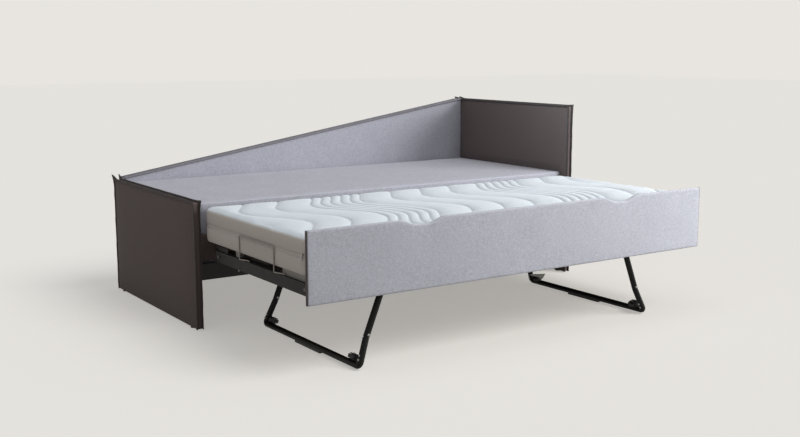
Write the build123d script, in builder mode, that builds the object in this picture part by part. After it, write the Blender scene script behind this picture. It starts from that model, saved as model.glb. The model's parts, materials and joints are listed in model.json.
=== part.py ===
from build123d import *
from math import cos, radians, sin
import os

# A daybed whose lower bed, the trundle, is pulled out in front and raised on its folding legs.
# +X runs along the bed towards the high arm, +Y to the back and +Z up, in millimetres.
# The origin is the middle of the footprint, on the floor.

os.makedirs("parts", exist_ok=True)

# Driving dimensions: the whole daybed
closed_depth = 960.0
left_arm_height = 547.0
right_arm_height = 877.0
seat_height = 534.0
soft_gap = 0.3
hole_clearance = 0.05
overrun = 5.0

# Arms: a board wrapped in a padded cover, with a standing welt round each face
arm_thickness = 30.0
arm_skin = 6.0
welt_height = 10.0
welt_thickness = 2.5
ear_run = 46.0
left_ear_rise = 25.0
right_ear_rise = 12.0
front_ear_rise = 3.0
glide_height = 4.0
glide_radius = 14.0
glide_inset = 60.0
back_glide_offset = 700.0

# Back: a padded board whose top slopes from the high arm down to the low arm
back_thickness = 40.0
back_skin = 10.0
back_inset = 15.0
back_low_rise = 8.0
back_high_rise = 2.0
back_rail_height = 84.0
back_rail_thickness = 25.0

# Fixed seat: cushion, four boards, ledges and sprung slats
seat_inset = 43.0
cushion_height = 140.0
cushion_edge = 14.0
cushion_foot_edge = 8.0
cushion_corner = 22.0
cushion_crown = 3.0
board_thickness = 22.0
board_height = 100.0
pad_thickness = 6.0
pad_return = 30.0
ledge_size = 25.0
seat_slat_count = 13
seat_slat_width = 65.0
seat_slat_thickness = 8.0
holder_depth = 34.0
holder_wall = 3.0
bracket_leg = 60.0
bracket_height = 70.0
bracket_thickness = 4.0
bracket_bolt_reach = 40.0

# Bolts of the base: bracket bolts, and long ones into the arms and the back
bolt_radius = 4.0
bolt_head = 8.0
bolt_head_height = 3.0
bolt_bite = 14.0
arm_bolt_spread = 300.0
back_bolt_spread = 800.0
board_bolt_hold = 12.0

# Trundle: heights while it stands raised
mattress_drop = 17.0
mattress_length = 2000.0
mattress_width = 870.0
mattress_height = 140.0
mattress_corner = 45.0
mattress_edge = 20.0
mattress_foot_edge = 12.0
mattress_front_gap = 8.0
mattress_rear_reach = 20.0
mattress_side_gap = 20.0
seam_width = 5.0
seam_depth = 3.0
panel_lip = 31.0
panel_height = 270.0
panel_thickness = 18.0
panel_skin = 3.0
panel_side_gap = 8.0
panel_corner = 6.0
notch_width = 215.0
notch_depth = 24.0
notch_floor = 50.0
notch_offset = 517.0
notch_round = 150.0
end_trim_thickness = 3.0

# Quilting channels of the mattress: waves across the bed, close together in two zones
channel_width = 7.0
channel_depth = 3.0
wave_apex = 107.0
wave_round = 170.0
half_wave = 300.0
wave_crest_inset = 330.0
wide_pitch = 166.0
close_pitch = 49.5
quilt_offset = 40.0
wide_gaps_between_zones = 2
close_gaps_in_zone = 5
wide_gaps_outside_zones = 2

# Trundle frame: steel tube
rail_width = 40.0
rail_height = 45.0
rail_inset = 15.0
tube_wall = 2.5
beam_width = 48.0
beam_height = 42.0
middle_beam_width = 30.0
frame_setback = 95.0
cap_flange = 3.0
cap_plug = 12.0
slat_space = 25.0
bearer_height = 6.0
slat_count = 14
slat_width = 70.0
slat_thickness = 8.0
slat_bow = 6.0
slat_side_margin = 20.0
block_width = 22.0
block_inset = 12.0
block_setback = 39.0
front_block_length = 175.0
rear_block_length = 25.0
block_gap = 365.0
frame_bolt_radius = 4.0
frame_bolt_head = 7.0
frame_bolt_head_height = 4.0
panel_bolt_hold = 10.0
panel_bolt_shares = (-0.88, -0.45, 0.0, 0.45, 0.88)
rail_bolt_hold = 10.0

# Wire retainers that keep the mattress from sliding off sideways
wire_radius = 2.5
wire_rise = 98.0
wire_length = 288.0
wire_setback = 327.0
wire_stand_off = 8.5
wire_foot_run = 53.0
wire_foot_inset = 7.0
wire_foot_drop = 16.0
wire_bend = 4.0

# Rear catches, plates that reach past the ends of the side rails
catch_length = 125.0
catch_height = 20.0
catch_thickness = 4.0
catch_inset = 7.0
catch_overhang = 30.0
catch_tooth = 7.0
catch_mouth = 14.0
catch_mouth_height = 8.0

# Folding legs: a flared tube loop with two upper tubes, hinged under the frame
leg_splay = 22.0
left_hinge_x = -673.0
right_hinge_x = 598.0
hinge_drop = 25.0
leg_tube_radius = 12.5
leg_tube_wall = 2.0
leg_bend = 15.0
leg_panel_gap = 1.0
leg_flare = 18.0
leg_stub = 11.0
loop_rise = 106.6
knee_gap = 3.0
spigot_length = 25.0
spigot_root = 6.0
hinge_plate = 3.0
hinge_side_gap = 0.4
hinge_length = 50.0
hinge_lip = 13.0
hinge_pin_radius = 4.0
hinge_pin_head = 7.0
hinge_pin_head_height = 3.0
foot_pad_height = 4.0
foot_pad_length = 200.0
foot_pad_width = 20.0
foot_pad_wrap = 5.0
rivet_radius = 2.5
rivet_head = 5.0
rivet_dome = 2.5
knee_rivet_rise = 13.0
corner_rivet_rises = (22.0, 38.0)

# Wheels, which carry the trundle once the legs lie flat
wheel_radius = 21.0
wheel_width = 14.0
wheel_edge = 2.0
wheel_inset = 57.0
wheel_gap = 2.0
axle_radius = 3.0
axle_head = 5.0
axle_head_height = 2.5
wheel_plate = 3.0
wheel_plate_width = 24.0
wheel_plate_tail = 10.0
blade_length = 117.0
blade_rise = 32.0
blade_toe = 30.0
blade_root = 6.0
blade_thickness = 3.0
blade_shift = 8.5

# Places worked out from the driving dimensions: the base
inner_x = mattress_length / 2 + mattress_side_gap
half_length = inner_x + arm_thickness
between_x = inner_x - soft_gap
panel_reach = mattress_width + mattress_front_gap + panel_thickness - mattress_rear_reach
front_y = (panel_reach - closed_depth) / 2
back_y = front_y + closed_depth
arm_front_y = front_y + welt_height
arm_back_y = back_y - welt_height
back_rear_y = back_y - back_inset
back_face_y = back_rear_y - back_thickness
seat_front_y = front_y + seat_inset
back_low_height = left_arm_height + back_low_rise
back_high_height = right_arm_height + back_high_rise
cushion_back_y = back_face_y - soft_gap
cushion_bottom = seat_height - cushion_height
board_top = cushion_bottom - soft_gap
board_bottom = board_top - board_height
board_middle_z = board_top - board_height / 2
front_board_y = seat_front_y + pad_thickness + board_thickness / 2
rear_board_y = cushion_back_y - board_thickness / 2
side_board_front = front_board_y + board_thickness / 2
side_board_back = rear_board_y - board_thickness / 2
side_board_middle = (side_board_front + side_board_back) / 2
side_board_depth = side_board_back - side_board_front
side_board_face_x = between_x - board_thickness

# Places worked out from the driving dimensions: the trundle
panel_face_y = front_y - panel_reach
panel_back_y = panel_face_y + panel_thickness
mattress_top = seat_height - mattress_drop
mattress_bottom = mattress_top - mattress_height
mattress_front_y = panel_back_y + mattress_front_gap
mattress_middle_y = mattress_front_y + mattress_width / 2
panel_top = mattress_top + panel_lip
panel_bottom = panel_top - panel_height
panel_half_length = inner_x - panel_side_gap
rail_top = mattress_bottom - slat_space
rail_outer_x = panel_half_length - rail_inset
rail_inner_x = rail_outer_x - rail_width
beam_bottom = rail_top - beam_height
beam_middle_z = rail_top - beam_height / 2
frame_rear_y = front_y - frame_setback
frame_middle_y = (panel_back_y + frame_rear_y) / 2
front_beam_y = panel_back_y + beam_width / 2
rear_beam_y = frame_rear_y - beam_width / 2

# Places worked out from the driving dimensions: the legs, with distances down the leg from its hinge
hinge_z = beam_bottom - hinge_drop
leg_lean = radians(leg_splay)
bar_reach = (hinge_z - foot_pad_height - leg_tube_radius) / cos(leg_lean)
knee_reach = bar_reach - loop_rise
bar_front_y = panel_back_y + leg_panel_gap + leg_tube_radius
bar_rear_y = frame_rear_y
front_hinge_y = bar_front_y + leg_flare
rear_hinge_y = bar_rear_y - leg_flare
front_wheel_y = bar_front_y + wheel_inset
rear_wheel_y = bar_rear_y - wheel_inset
low_plate_reach = bar_reach - leg_tube_radius - wheel_plate / 2
wheel_reach = low_plate_reach - wheel_plate / 2 - wheel_gap - wheel_width / 2
high_plate_reach = wheel_reach - wheel_width / 2 - wheel_gap - wheel_plate / 2

# Alignments for solids that stand on their place, or hang from it
standing = (Align.CENTER, Align.CENTER, Align.MIN)
hanging = (Align.CENTER, Align.CENTER, Align.MAX)


def save(builder, label):
    """Label a finished piece and write it to its own file."""
    builder.part.label = label
    export_step(builder.part, f"parts/{label}.step")


def add_bolt(radius, grip, hold, head_radius, head_height):
    """Add a bolt at each place, its head above the grip and its shaft down to the hold."""
    with Locations((0, 0, grip)):
        Cylinder(head_radius, head_height, align=standing)
    with Locations((0, 0, -hold)):
        Cylinder(radius, hold + grip, align=standing)


def cut_bolt(radius, hold):
    """Cut a bolt's hole at each place, from above its face down to the hold."""
    with Locations((0, 0, overrun)):
        Cylinder(radius + hole_clearance, hold + overrun, align=hanging, mode=Mode.SUBTRACT)


def add_holders(places, front_end, back_end, middle_z, width, thickness):
    """Add a pocket for each end of each slat, open towards the slat's middle."""
    outer_width = width + 2 * holder_wall
    outer_height = thickness + 2 * holder_wall
    for end_y, inward in ((front_end, 1), (back_end, -1)):
        with Locations(*[(x, end_y + inward * holder_depth / 2, middle_z) for x in places]):
            Box(outer_width, holder_depth, outer_height)
        slot_y = end_y + inward * (holder_wall + holder_depth) / 2
        with Locations(*[(x, slot_y, middle_z) for x in places]):
            Box(
                width + 2 * soft_gap, holder_depth - holder_wall, thickness + 2 * soft_gap,
                mode=Mode.SUBTRACT,
            )


def spread(count, width):
    """Return the middles of equal steps across a width, about zero."""
    return [(i - (count - 1) / 2) * width / count for i in range(count)]


# Bolt places of the base: each plane lies on the face that is drilled and looks out of it

bracket_corners = [
    (side, face_y, turn) for side in (-1, 1)
    for face_y, turn in ((side_board_front, 1), (side_board_back, -1))
]
bracket_bolts_in_boards = [
    Plane((side * (side_board_face_x - bracket_bolt_reach), face_y, board_middle_z), z_dir=(0, turn, 0))
    for side, face_y, turn in bracket_corners
]
bracket_bolts_in_sides = [
    Plane(
        (side * side_board_face_x, face_y + turn * bracket_bolt_reach, board_middle_z), z_dir=(-side, 0, 0),
    )
    for side, face_y, turn in bracket_corners
]
arm_bolt_planes = [
    Plane((side * side_board_face_x, side_board_middle + shift, board_middle_z), z_dir=(-side, 0, 0))
    for side in (-1, 1) for shift in (-arm_bolt_spread, 0, arm_bolt_spread)
]
back_bolt_planes = [
    Plane((x, side_board_back, board_middle_z), z_dir=(0, -1, 0))
    for x in (-back_bolt_spread, 0, back_bolt_spread)
]
arm_bolt_hold = board_thickness + soft_gap + arm_skin + board_bolt_hold
back_bolt_hold = board_thickness + soft_gap + back_skin + board_bolt_hold

# Arms


def arm_points(height, ear_rise):
    """Return an arm's side outline, with a point raised at each top corner."""
    return [
        (front_y, glide_height), (front_y, height + front_ear_rise), (front_y + ear_run / 2, height),
        (back_y - ear_run, height), (back_y, height + ear_rise), (back_y, glide_height),
    ]


def make_arm(side, height, ear_rise):
    """Model one arm: its board, its padded cover and the two welts."""
    name = "left" if side < 0 else "right"
    middle_x = side * (half_length - arm_thickness / 2)
    middle_y = (arm_front_y + arm_back_y) / 2
    body_depth = arm_back_y - arm_front_y
    body_height = height - welt_height - glide_height
    middle = Location((middle_x, middle_y, glide_height + body_height / 2))
    core_sizes = [size - 2 * arm_skin for size in (arm_thickness, body_depth, body_height)]

    with BuildPart() as arm_core:
        with Locations(middle):
            Box(*core_sizes)
        with Locations(*arm_bolt_planes):
            cut_bolt(bolt_radius, arm_bolt_hold)
    save(arm_core, f"{name}_arm_core")

    with BuildPart() as arm_cover:
        with Locations(middle):
            Box(arm_thickness, body_depth, body_height)
            Box(*core_sizes, mode=Mode.SUBTRACT)
        with Locations(*arm_bolt_planes):
            cut_bolt(bolt_radius, arm_bolt_hold)
    save(arm_cover, f"{name}_arm_cover")

    with BuildPart() as arm_welts:
        outer_x = middle_x - arm_thickness / 2
        for start_x in (outer_x, outer_x + arm_thickness - welt_thickness):
            with BuildSketch(Plane.YZ.offset(start_x)):
                Polygon(*arm_points(height, ear_rise), align=None)
                with Locations((middle_y, height - welt_height)):
                    Rectangle(
                        body_depth, body_height + overrun, align=(Align.CENTER, Align.MAX),
                        mode=Mode.SUBTRACT,
                    )
            extrude(amount=welt_thickness)
    save(arm_welts, f"{name}_arm_welts")


make_arm(-1, left_arm_height, left_ear_rise)
make_arm(1, right_arm_height, right_ear_rise)

with BuildPart() as base_glides:
    glide_x = half_length - arm_thickness / 2
    glide_y = (arm_front_y + glide_inset, arm_back_y - glide_inset)
    with Locations(*[(x, y, 0) for x in (-glide_x, glide_x) for y in glide_y]):
        Cylinder(glide_radius, glide_height, align=standing)
    back_glide_y = back_rear_y - back_thickness / 2
    with Locations((-back_glide_offset, back_glide_y, 0), (back_glide_offset, back_glide_y, 0)):
        Cylinder(glide_radius, glide_height, align=standing)
save(base_glides, "base_glides")

# Back

back_slope = (back_high_height - back_low_height) / (2 * inner_x)


def back_points(inset, high_drop, low_drop=None):
    """Return the back's outline from its foot, or from a drop, up to a drop below its sloping top."""
    end_x = between_x - inset
    left_z = back_low_height + back_slope * (inner_x - end_x)
    right_z = back_low_height + back_slope * (inner_x + end_x)
    if low_drop is None:
        feet = [(-end_x, glide_height + inset), (end_x, glide_height + inset)]
    else:
        feet = [(-end_x, left_z - low_drop), (end_x, right_z - low_drop)]
    return feet + [(end_x, right_z - high_drop), (-end_x, left_z - high_drop)]


with BuildPart() as back_core:
    with BuildSketch(Plane.XZ.offset(-back_face_y - back_skin)):
        Polygon(*back_points(back_skin, welt_height + back_skin), align=None)
    extrude(amount=2 * back_skin - back_thickness)
    with Locations(*back_bolt_planes):
        cut_bolt(bolt_radius, back_bolt_hold)
save(back_core, "back_core")

with BuildPart() as back_cover:
    with BuildSketch(Plane.XZ.offset(-back_face_y)):
        Polygon(*back_points(0, welt_height), align=None)
    extrude(amount=-back_thickness)
    with BuildSketch(Plane.XZ.offset(-back_face_y - back_skin)):
        Polygon(*back_points(back_skin, welt_height + back_skin), align=None)
    extrude(amount=2 * back_skin - back_thickness, mode=Mode.SUBTRACT)
    with Locations(*back_bolt_planes):
        cut_bolt(bolt_radius, back_bolt_hold)
save(back_cover, "back_cover")

with BuildPart() as back_welts:
    for welt_y in (back_face_y, back_rear_y - welt_thickness):
        with BuildSketch(Plane.XZ.offset(-welt_y)):
            Polygon(*back_points(0, 0, welt_height), align=None)
        extrude(amount=-welt_thickness)
save(back_welts, "back_welts")

with BuildPart() as back_bottom_rail:
    with Locations((0, cushion_back_y - back_rail_thickness / 2, glide_height)):
        Box(2 * between_x, back_rail_thickness, back_rail_height, align=standing)
save(back_bottom_rail, "back_bottom_rail")

# Fixed seat

with BuildPart() as seat_cushion:
    shoulder_z = seat_height - cushion_crown
    with BuildSketch(Plane.YZ.offset(-between_x)):
        with BuildLine():
            Polyline(
                (seat_front_y, shoulder_z), (seat_front_y, cushion_bottom),
                (cushion_back_y, cushion_bottom), (cushion_back_y, shoulder_z),
            )
            ThreePointArc(
                (cushion_back_y, shoulder_z), ((seat_front_y + cushion_back_y) / 2, seat_height),
                (seat_front_y, shoulder_z),
            )
        make_face()
    extrude(amount=2 * between_x)
    fillet(seat_cushion.edges().filter_by(Axis.Z), radius=cushion_corner)
    fillet(seat_cushion.faces().sort_by(Axis.Z)[-1].edges(), radius=cushion_edge)
    fillet(seat_cushion.faces().sort_by(Axis.Z)[0].edges(), radius=cushion_foot_edge)
save(seat_cushion, "seat_cushion")

with BuildPart() as seat_front_board:
    with Locations((0, front_board_y, board_middle_z)):
        Box(2 * between_x, board_thickness, board_height)
    with Locations(*bracket_bolts_in_boards):
        cut_bolt(bolt_radius, bolt_bite)
save(seat_front_board, "seat_front_board")

with BuildPart() as seat_rear_board:
    with Locations((0, rear_board_y, board_middle_z)):
        Box(2 * between_x, board_thickness, board_height)
    with Locations(*bracket_bolts_in_boards):
        cut_bolt(bolt_radius, bolt_bite)
    with Locations(*back_bolt_planes):
        cut_bolt(bolt_radius, back_bolt_hold)
save(seat_rear_board, "seat_rear_board")

with BuildPart() as seat_side_boards:
    side_board_x = between_x - board_thickness / 2
    with Locations(*[(x, side_board_middle, board_middle_z) for x in (-side_board_x, side_board_x)]):
        Box(board_thickness, side_board_depth, board_height)
    with Locations(*bracket_bolts_in_sides):
        cut_bolt(bolt_radius, bolt_bite)
    with Locations(*arm_bolt_planes):
        cut_bolt(bolt_radius, arm_bolt_hold)
save(seat_side_boards, "seat_side_boards")

with BuildPart() as seat_front_pad:
    with BuildSketch(Plane.YZ.offset(-between_x)):
        Polygon(
            (seat_front_y, board_top), (seat_front_y, board_bottom - pad_thickness),
            (seat_front_y + pad_return, board_bottom - pad_thickness),
            (seat_front_y + pad_return, board_bottom - soft_gap),
            (seat_front_y + pad_thickness - soft_gap, board_bottom - soft_gap),
            (seat_front_y + pad_thickness - soft_gap, board_top), align=None,
        )
    extrude(amount=2 * between_x)
save(seat_front_pad, "seat_front_pad")

seat_holder_z = board_top - soft_gap - seat_slat_thickness / 2 - holder_wall
ledge_top = seat_holder_z - seat_slat_thickness / 2 - holder_wall
ledge_half_length = side_board_face_x - bracket_leg - soft_gap
ledge_places = (side_board_front + ledge_size / 2, side_board_back - ledge_size / 2)

with BuildPart() as seat_ledges:
    with Locations(*[(0, y, ledge_top) for y in ledge_places]):
        Box(2 * ledge_half_length, ledge_size, ledge_size, align=hanging)
save(seat_ledges, "seat_ledges")

seat_slat_places = spread(seat_slat_count, 2 * ledge_half_length)

with BuildPart() as seat_slats:
    with Locations(*[(x, side_board_middle, seat_holder_z) for x in seat_slat_places]):
        Box(seat_slat_width, side_board_depth - 2 * (holder_wall + soft_gap), seat_slat_thickness)
save(seat_slats, "seat_slats")

with BuildPart() as seat_slat_holders:
    add_holders(
        seat_slat_places, side_board_front, side_board_back, seat_holder_z,
        seat_slat_width, seat_slat_thickness,
    )
save(seat_slat_holders, "seat_slat_holders")

with BuildPart() as corner_brackets:
    for side, face_y, turn in bracket_corners:
        corner_x = side * side_board_face_x
        along_x = corner_x - side * bracket_leg / 2
        with Locations((along_x, face_y + turn * bracket_thickness / 2, board_middle_z)):
            Box(bracket_leg, bracket_thickness, bracket_height)
        against_x = corner_x - side * bracket_thickness / 2
        with Locations((against_x, face_y + turn * bracket_leg / 2, board_middle_z)):
            Box(bracket_thickness, bracket_leg, bracket_height)
    with Locations(*bracket_bolts_in_boards, *bracket_bolts_in_sides):
        cut_bolt(bolt_radius, bolt_bite)
save(corner_brackets, "corner_brackets")

with BuildPart() as bracket_bolts:
    with Locations(*bracket_bolts_in_boards, *bracket_bolts_in_sides):
        add_bolt(bolt_radius, bracket_thickness, bolt_bite, bolt_head, bolt_head_height)
save(bracket_bolts, "bracket_bolts")

with BuildPart() as long_bolts:
    with Locations(*arm_bolt_planes):
        add_bolt(bolt_radius, 0, arm_bolt_hold, bolt_head, bolt_head_height)
    with Locations(*back_bolt_planes):
        add_bolt(bolt_radius, 0, back_bolt_hold, bolt_head, bolt_head_height)
save(long_bolts, "long_bolts")

# Trundle mattress


def quilt_places():
    """List where each quilted wave lies along the bed: wide apart, with two close zones."""
    between = wide_gaps_between_zones * wide_pitch
    places = [quilt_offset - between / 2 + i * wide_pitch for i in range(wide_gaps_between_zones + 1)]
    for side in (-1, 1):
        zone_start = quilt_offset + side * (between / 2 + wide_pitch)
        zone_end = zone_start + side * close_gaps_in_zone * close_pitch
        places += [zone_start + side * i * close_pitch for i in range(close_gaps_in_zone + 1)]
        places += [zone_end + side * (i + 1) * wide_pitch for i in range(wide_gaps_outside_zones)]
    return [x for x in places if abs(x) < mattress_length / 2 - mattress_edge]


def wave_corners(place):
    """Return the sharp corners of one wave, which starts and ends beyond the mattress."""
    crest_y = mattress_front_y + wave_crest_inset
    steps_before = int(wave_crest_inset / half_wave) + 1
    steps_after = int((mattress_width - wave_crest_inset) / half_wave) + 1
    corners = []
    for i in range(-steps_before, steps_after + 1):
        swing = wave_apex if i % 2 == 0 else -wave_apex
        corners.append((place + swing, crest_y + i * half_wave))
    return corners


with BuildPart() as trundle_mattress:
    with BuildSketch(Plane.XY.offset(mattress_bottom)):
        with Locations((0, mattress_middle_y)):
            RectangleRounded(mattress_length, mattress_width, mattress_corner)
    extrude(amount=mattress_height)
    fillet(trundle_mattress.faces().sort_by(Axis.Z)[-1].edges(), radius=mattress_edge)
    fillet(trundle_mattress.faces().sort_by(Axis.Z)[0].edges(), radius=mattress_foot_edge)
    with BuildSketch(Plane.XY.offset(mattress_bottom + (mattress_height - seam_width) / 2)):
        with Locations((0, mattress_middle_y)):
            Rectangle(mattress_length + overrun, mattress_width + overrun)
            RectangleRounded(
                mattress_length - 2 * seam_depth, mattress_width - 2 * seam_depth,
                mattress_corner - seam_depth, mode=Mode.SUBTRACT,
            )
    extrude(amount=seam_width, mode=Mode.SUBTRACT)
    with BuildSketch(Plane.XY.offset(mattress_top - channel_depth)):
        for quilt_x in quilt_places():
            with BuildLine():
                FilletPolyline(*wave_corners(quilt_x), radius=wave_round)
            trace(line_width=channel_width)
    extrude(amount=channel_depth + overrun, mode=Mode.SUBTRACT)
save(trundle_mattress, "trundle_mattress")

# Front panel: a board in a sewn cover, with two finger notches in its top edge

trim_inner_x = panel_half_length - end_trim_thickness
panel_bolt_planes = [
    Plane((share * rail_inner_x, panel_back_y + beam_width, beam_middle_z), z_dir=(0, 1, 0))
    for share in panel_bolt_shares
]
panel_bolt_length = beam_width + panel_skin + panel_bolt_hold


def notch_points(middle_x):
    """Return the corners of one finger notch, from right to left."""
    floor_z = panel_top - notch_depth
    return [
        (middle_x + notch_width / 2, panel_top), (middle_x + notch_floor / 2, floor_z),
        (middle_x - notch_floor / 2, floor_z), (middle_x - notch_width / 2, panel_top),
    ]


panel_points = [
    (-trim_inner_x, panel_bottom), (trim_inner_x, panel_bottom), (trim_inner_x, panel_top),
    *notch_points(notch_offset), *notch_points(-notch_offset), (-trim_inner_x, panel_top),
]
notch_radii = [notch_round] * len(notch_points(0))
panel_radii = [panel_corner, panel_corner, panel_corner, *notch_radii, *notch_radii, panel_corner]

with BuildPart() as front_panel_core:
    with BuildSketch(Plane.XZ.offset(-panel_back_y + panel_skin)):
        with BuildLine():
            FilletPolyline(*panel_points, radius=panel_radii, close=True)
        make_face()
        offset(amount=-panel_skin, mode=Mode.REPLACE)
    extrude(amount=panel_thickness - 2 * panel_skin)
    with Locations(*panel_bolt_planes):
        cut_bolt(frame_bolt_radius, panel_bolt_length)
save(front_panel_core, "front_panel_core")

with BuildPart() as front_panel_cover:
    with BuildSketch(Plane.XZ.offset(-panel_back_y)):
        with BuildLine():
            FilletPolyline(*panel_points, radius=panel_radii, close=True)
        make_face()
    extrude(amount=panel_thickness)
    add(front_panel_core.part, mode=Mode.SUBTRACT)
    with Locations(*panel_bolt_planes):
        cut_bolt(frame_bolt_radius, panel_bolt_length)
save(front_panel_cover, "front_panel_cover")

with BuildPart() as front_panel_end_trims:
    trim_x = trim_inner_x + end_trim_thickness / 2
    with Locations(*[(x, (panel_face_y + panel_back_y) / 2, panel_bottom) for x in (-trim_x, trim_x)]):
        Box(end_trim_thickness, panel_thickness, panel_height, align=standing)
save(front_panel_end_trims, "front_panel_end_trims")

with BuildPart() as panel_bolts:
    with Locations(*panel_bolt_planes):
        add_bolt(frame_bolt_radius, 0, panel_bolt_length, frame_bolt_head, frame_bolt_head_height)
save(panel_bolts, "panel_bolts")

# Trundle frame

rail_length = frame_rear_y - cap_flange - panel_back_y
rail_middle_x = rail_outer_x - rail_width / 2
rail_middle_z = rail_top - rail_height / 2
rail_bolt_planes = {
    side: [
        Plane((side * rail_outer_x, y, beam_middle_z), z_dir=(side, 0, 0))
        for y in (front_beam_y, rear_beam_y)
    ]
    for side in (-1, 1)
}
wire_rear_y = front_y - wire_setback
wire_front_y = wire_rear_y - wire_length
wire_foot_x = rail_outer_x - wire_foot_inset
wire_foot_places = (wire_rear_y - wire_foot_run, wire_front_y - wire_foot_run)


def make_rail(side):
    """Model one side rail: a box tube with the retainer's two holes in its top."""
    name = "left" if side < 0 else "right"
    with BuildPart() as side_rail:
        with Locations((side * rail_middle_x, panel_back_y + rail_length / 2, rail_middle_z)):
            Box(rail_width, rail_length, rail_height)
            Box(
                rail_width - 2 * tube_wall, rail_length + overrun, rail_height - 2 * tube_wall,
                mode=Mode.SUBTRACT,
            )
        with Locations(*[(side * wire_foot_x, y, rail_top + overrun) for y in wire_foot_places]):
            Cylinder(
                wire_radius + hole_clearance, overrun + wire_foot_drop, align=hanging,
                mode=Mode.SUBTRACT,
            )
        with Locations(*rail_bolt_planes[side]):
            cut_bolt(frame_bolt_radius, rail_width + overrun)
    save(side_rail, f"{name}_side_rail")


make_rail(-1)
make_rail(1)

with BuildPart() as rail_caps:
    cap_y = frame_rear_y - cap_flange
    with Locations(*[(x, cap_y + cap_flange / 2, rail_middle_z) for x in (-rail_middle_x, rail_middle_x)]):
        Box(rail_width, cap_flange, rail_height)
    with Locations(*[(x, cap_y - cap_plug / 2, rail_middle_z) for x in (-rail_middle_x, rail_middle_x)]):
        Box(
            rail_width - 2 * (tube_wall + hole_clearance), cap_plug,
            rail_height - 2 * (tube_wall + hole_clearance),
        )
save(rail_caps, "rail_caps")


def make_beam(label, middle_y, width, bolts):
    """Model one cross beam, a box tube between the side rails, drilled for its bolts."""
    with BuildPart() as beam:
        with Locations((0, middle_y, beam_middle_z)):
            Box(2 * rail_inner_x, width, beam_height)
            Box(
                2 * rail_inner_x + overrun, width - 2 * tube_wall, beam_height - 2 * tube_wall,
                mode=Mode.SUBTRACT,
            )
        if bolts:
            with Locations(*bolts):
                cut_bolt(frame_bolt_radius, width + overrun)
    save(beam, label)


make_beam("front_beam", front_beam_y, beam_width, panel_bolt_planes)
make_beam("rear_beam", rear_beam_y, beam_width, None)
make_beam("middle_beam", frame_middle_y, middle_beam_width, None)

with BuildPart() as rail_bolts:
    with Locations(*rail_bolt_planes[-1], *rail_bolt_planes[1]):
        add_bolt(
            frame_bolt_radius, 0, rail_width + rail_bolt_hold, frame_bolt_head, frame_bolt_head_height,
        )
save(rail_bolts, "rail_bolts")

with BuildPart() as slat_bearers:
    bearer_y = (panel_back_y + holder_depth / 2, frame_rear_y - holder_depth / 2)
    with Locations(*[(0, y, rail_top) for y in bearer_y]):
        Box(2 * rail_inner_x, holder_depth, bearer_height, align=standing)
save(slat_bearers, "slat_bearers")

slat_places = spread(slat_count, 2 * (rail_inner_x - slat_side_margin))
slat_middle_z = rail_top + bearer_height + holder_wall + slat_thickness / 2

with BuildPart() as trundle_slats:
    slat_front = panel_back_y + holder_wall + soft_gap
    slat_back = frame_rear_y - holder_wall - soft_gap
    bow_front = panel_back_y + holder_depth
    bow_back = frame_rear_y - holder_depth
    low_z = slat_middle_z - slat_thickness / 2
    high_z = slat_middle_z + slat_thickness / 2
    for slat_x in slat_places:
        with BuildSketch(Plane.YZ.offset(slat_x - slat_width / 2)):
            with BuildLine():
                Polyline(
                    (bow_front, low_z), (slat_front, low_z), (slat_front, high_z), (bow_front, high_z),
                )
                ThreePointArc((bow_front, high_z), (frame_middle_y, high_z + slat_bow), (bow_back, high_z))
                Polyline((bow_back, high_z), (slat_back, high_z), (slat_back, low_z), (bow_back, low_z))
                ThreePointArc((bow_back, low_z), (frame_middle_y, low_z + slat_bow), (bow_front, low_z))
            make_face()
        extrude(amount=slat_width)
save(trundle_slats, "trundle_slats")

with BuildPart() as trundle_slat_holders:
    add_holders(slat_places, panel_back_y, frame_rear_y, slat_middle_z, slat_width, slat_thickness)
save(trundle_slat_holders, "trundle_slat_holders")

with BuildPart() as spacer_blocks:
    block_x = rail_outer_x - block_inset - block_width / 2
    front_block_y = panel_back_y + block_setback + front_block_length / 2
    rear_block_y = front_block_y + (front_block_length + rear_block_length) / 2 + block_gap
    for block_y, length in ((front_block_y, front_block_length), (rear_block_y, rear_block_length)):
        with Locations(*[(x, block_y, rail_top) for x in (-block_x, block_x)]):
            Box(block_width, length, slat_space - soft_gap, align=standing)
save(spacer_blocks, "spacer_blocks")


def make_retainer(side):
    """Model one wire retainer: a hoop beside the mattress on two feet set into the rail."""
    name = "left" if side < 0 else "right"
    wire_x = side * (rail_outer_x + wire_stand_off)
    foot_x = side * wire_foot_x
    foot_z = rail_top + wire_bend + soft_gap
    low_z = rail_top - wire_foot_drop
    hoop_z = rail_top + wire_rise
    rear_foot_y, front_foot_y = wire_foot_places
    with BuildPart() as retainer:
        with BuildLine() as wire_route:
            FilletPolyline(
                (foot_x, rear_foot_y, low_z), (foot_x, rear_foot_y, foot_z),
                (wire_x, wire_rear_y, foot_z), (wire_x, wire_rear_y, hoop_z),
                (wire_x, wire_front_y, hoop_z), (wire_x, wire_front_y, foot_z),
                (foot_x, front_foot_y, foot_z), (foot_x, front_foot_y, low_z), radius=wire_bend,
            )
        with BuildSketch(Plane(origin=wire_route.line @ 0, z_dir=wire_route.line % 0)):
            Circle(wire_radius)
        sweep()
    save(retainer, f"{name}_retainer")


make_retainer(-1)
make_retainer(1)

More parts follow.
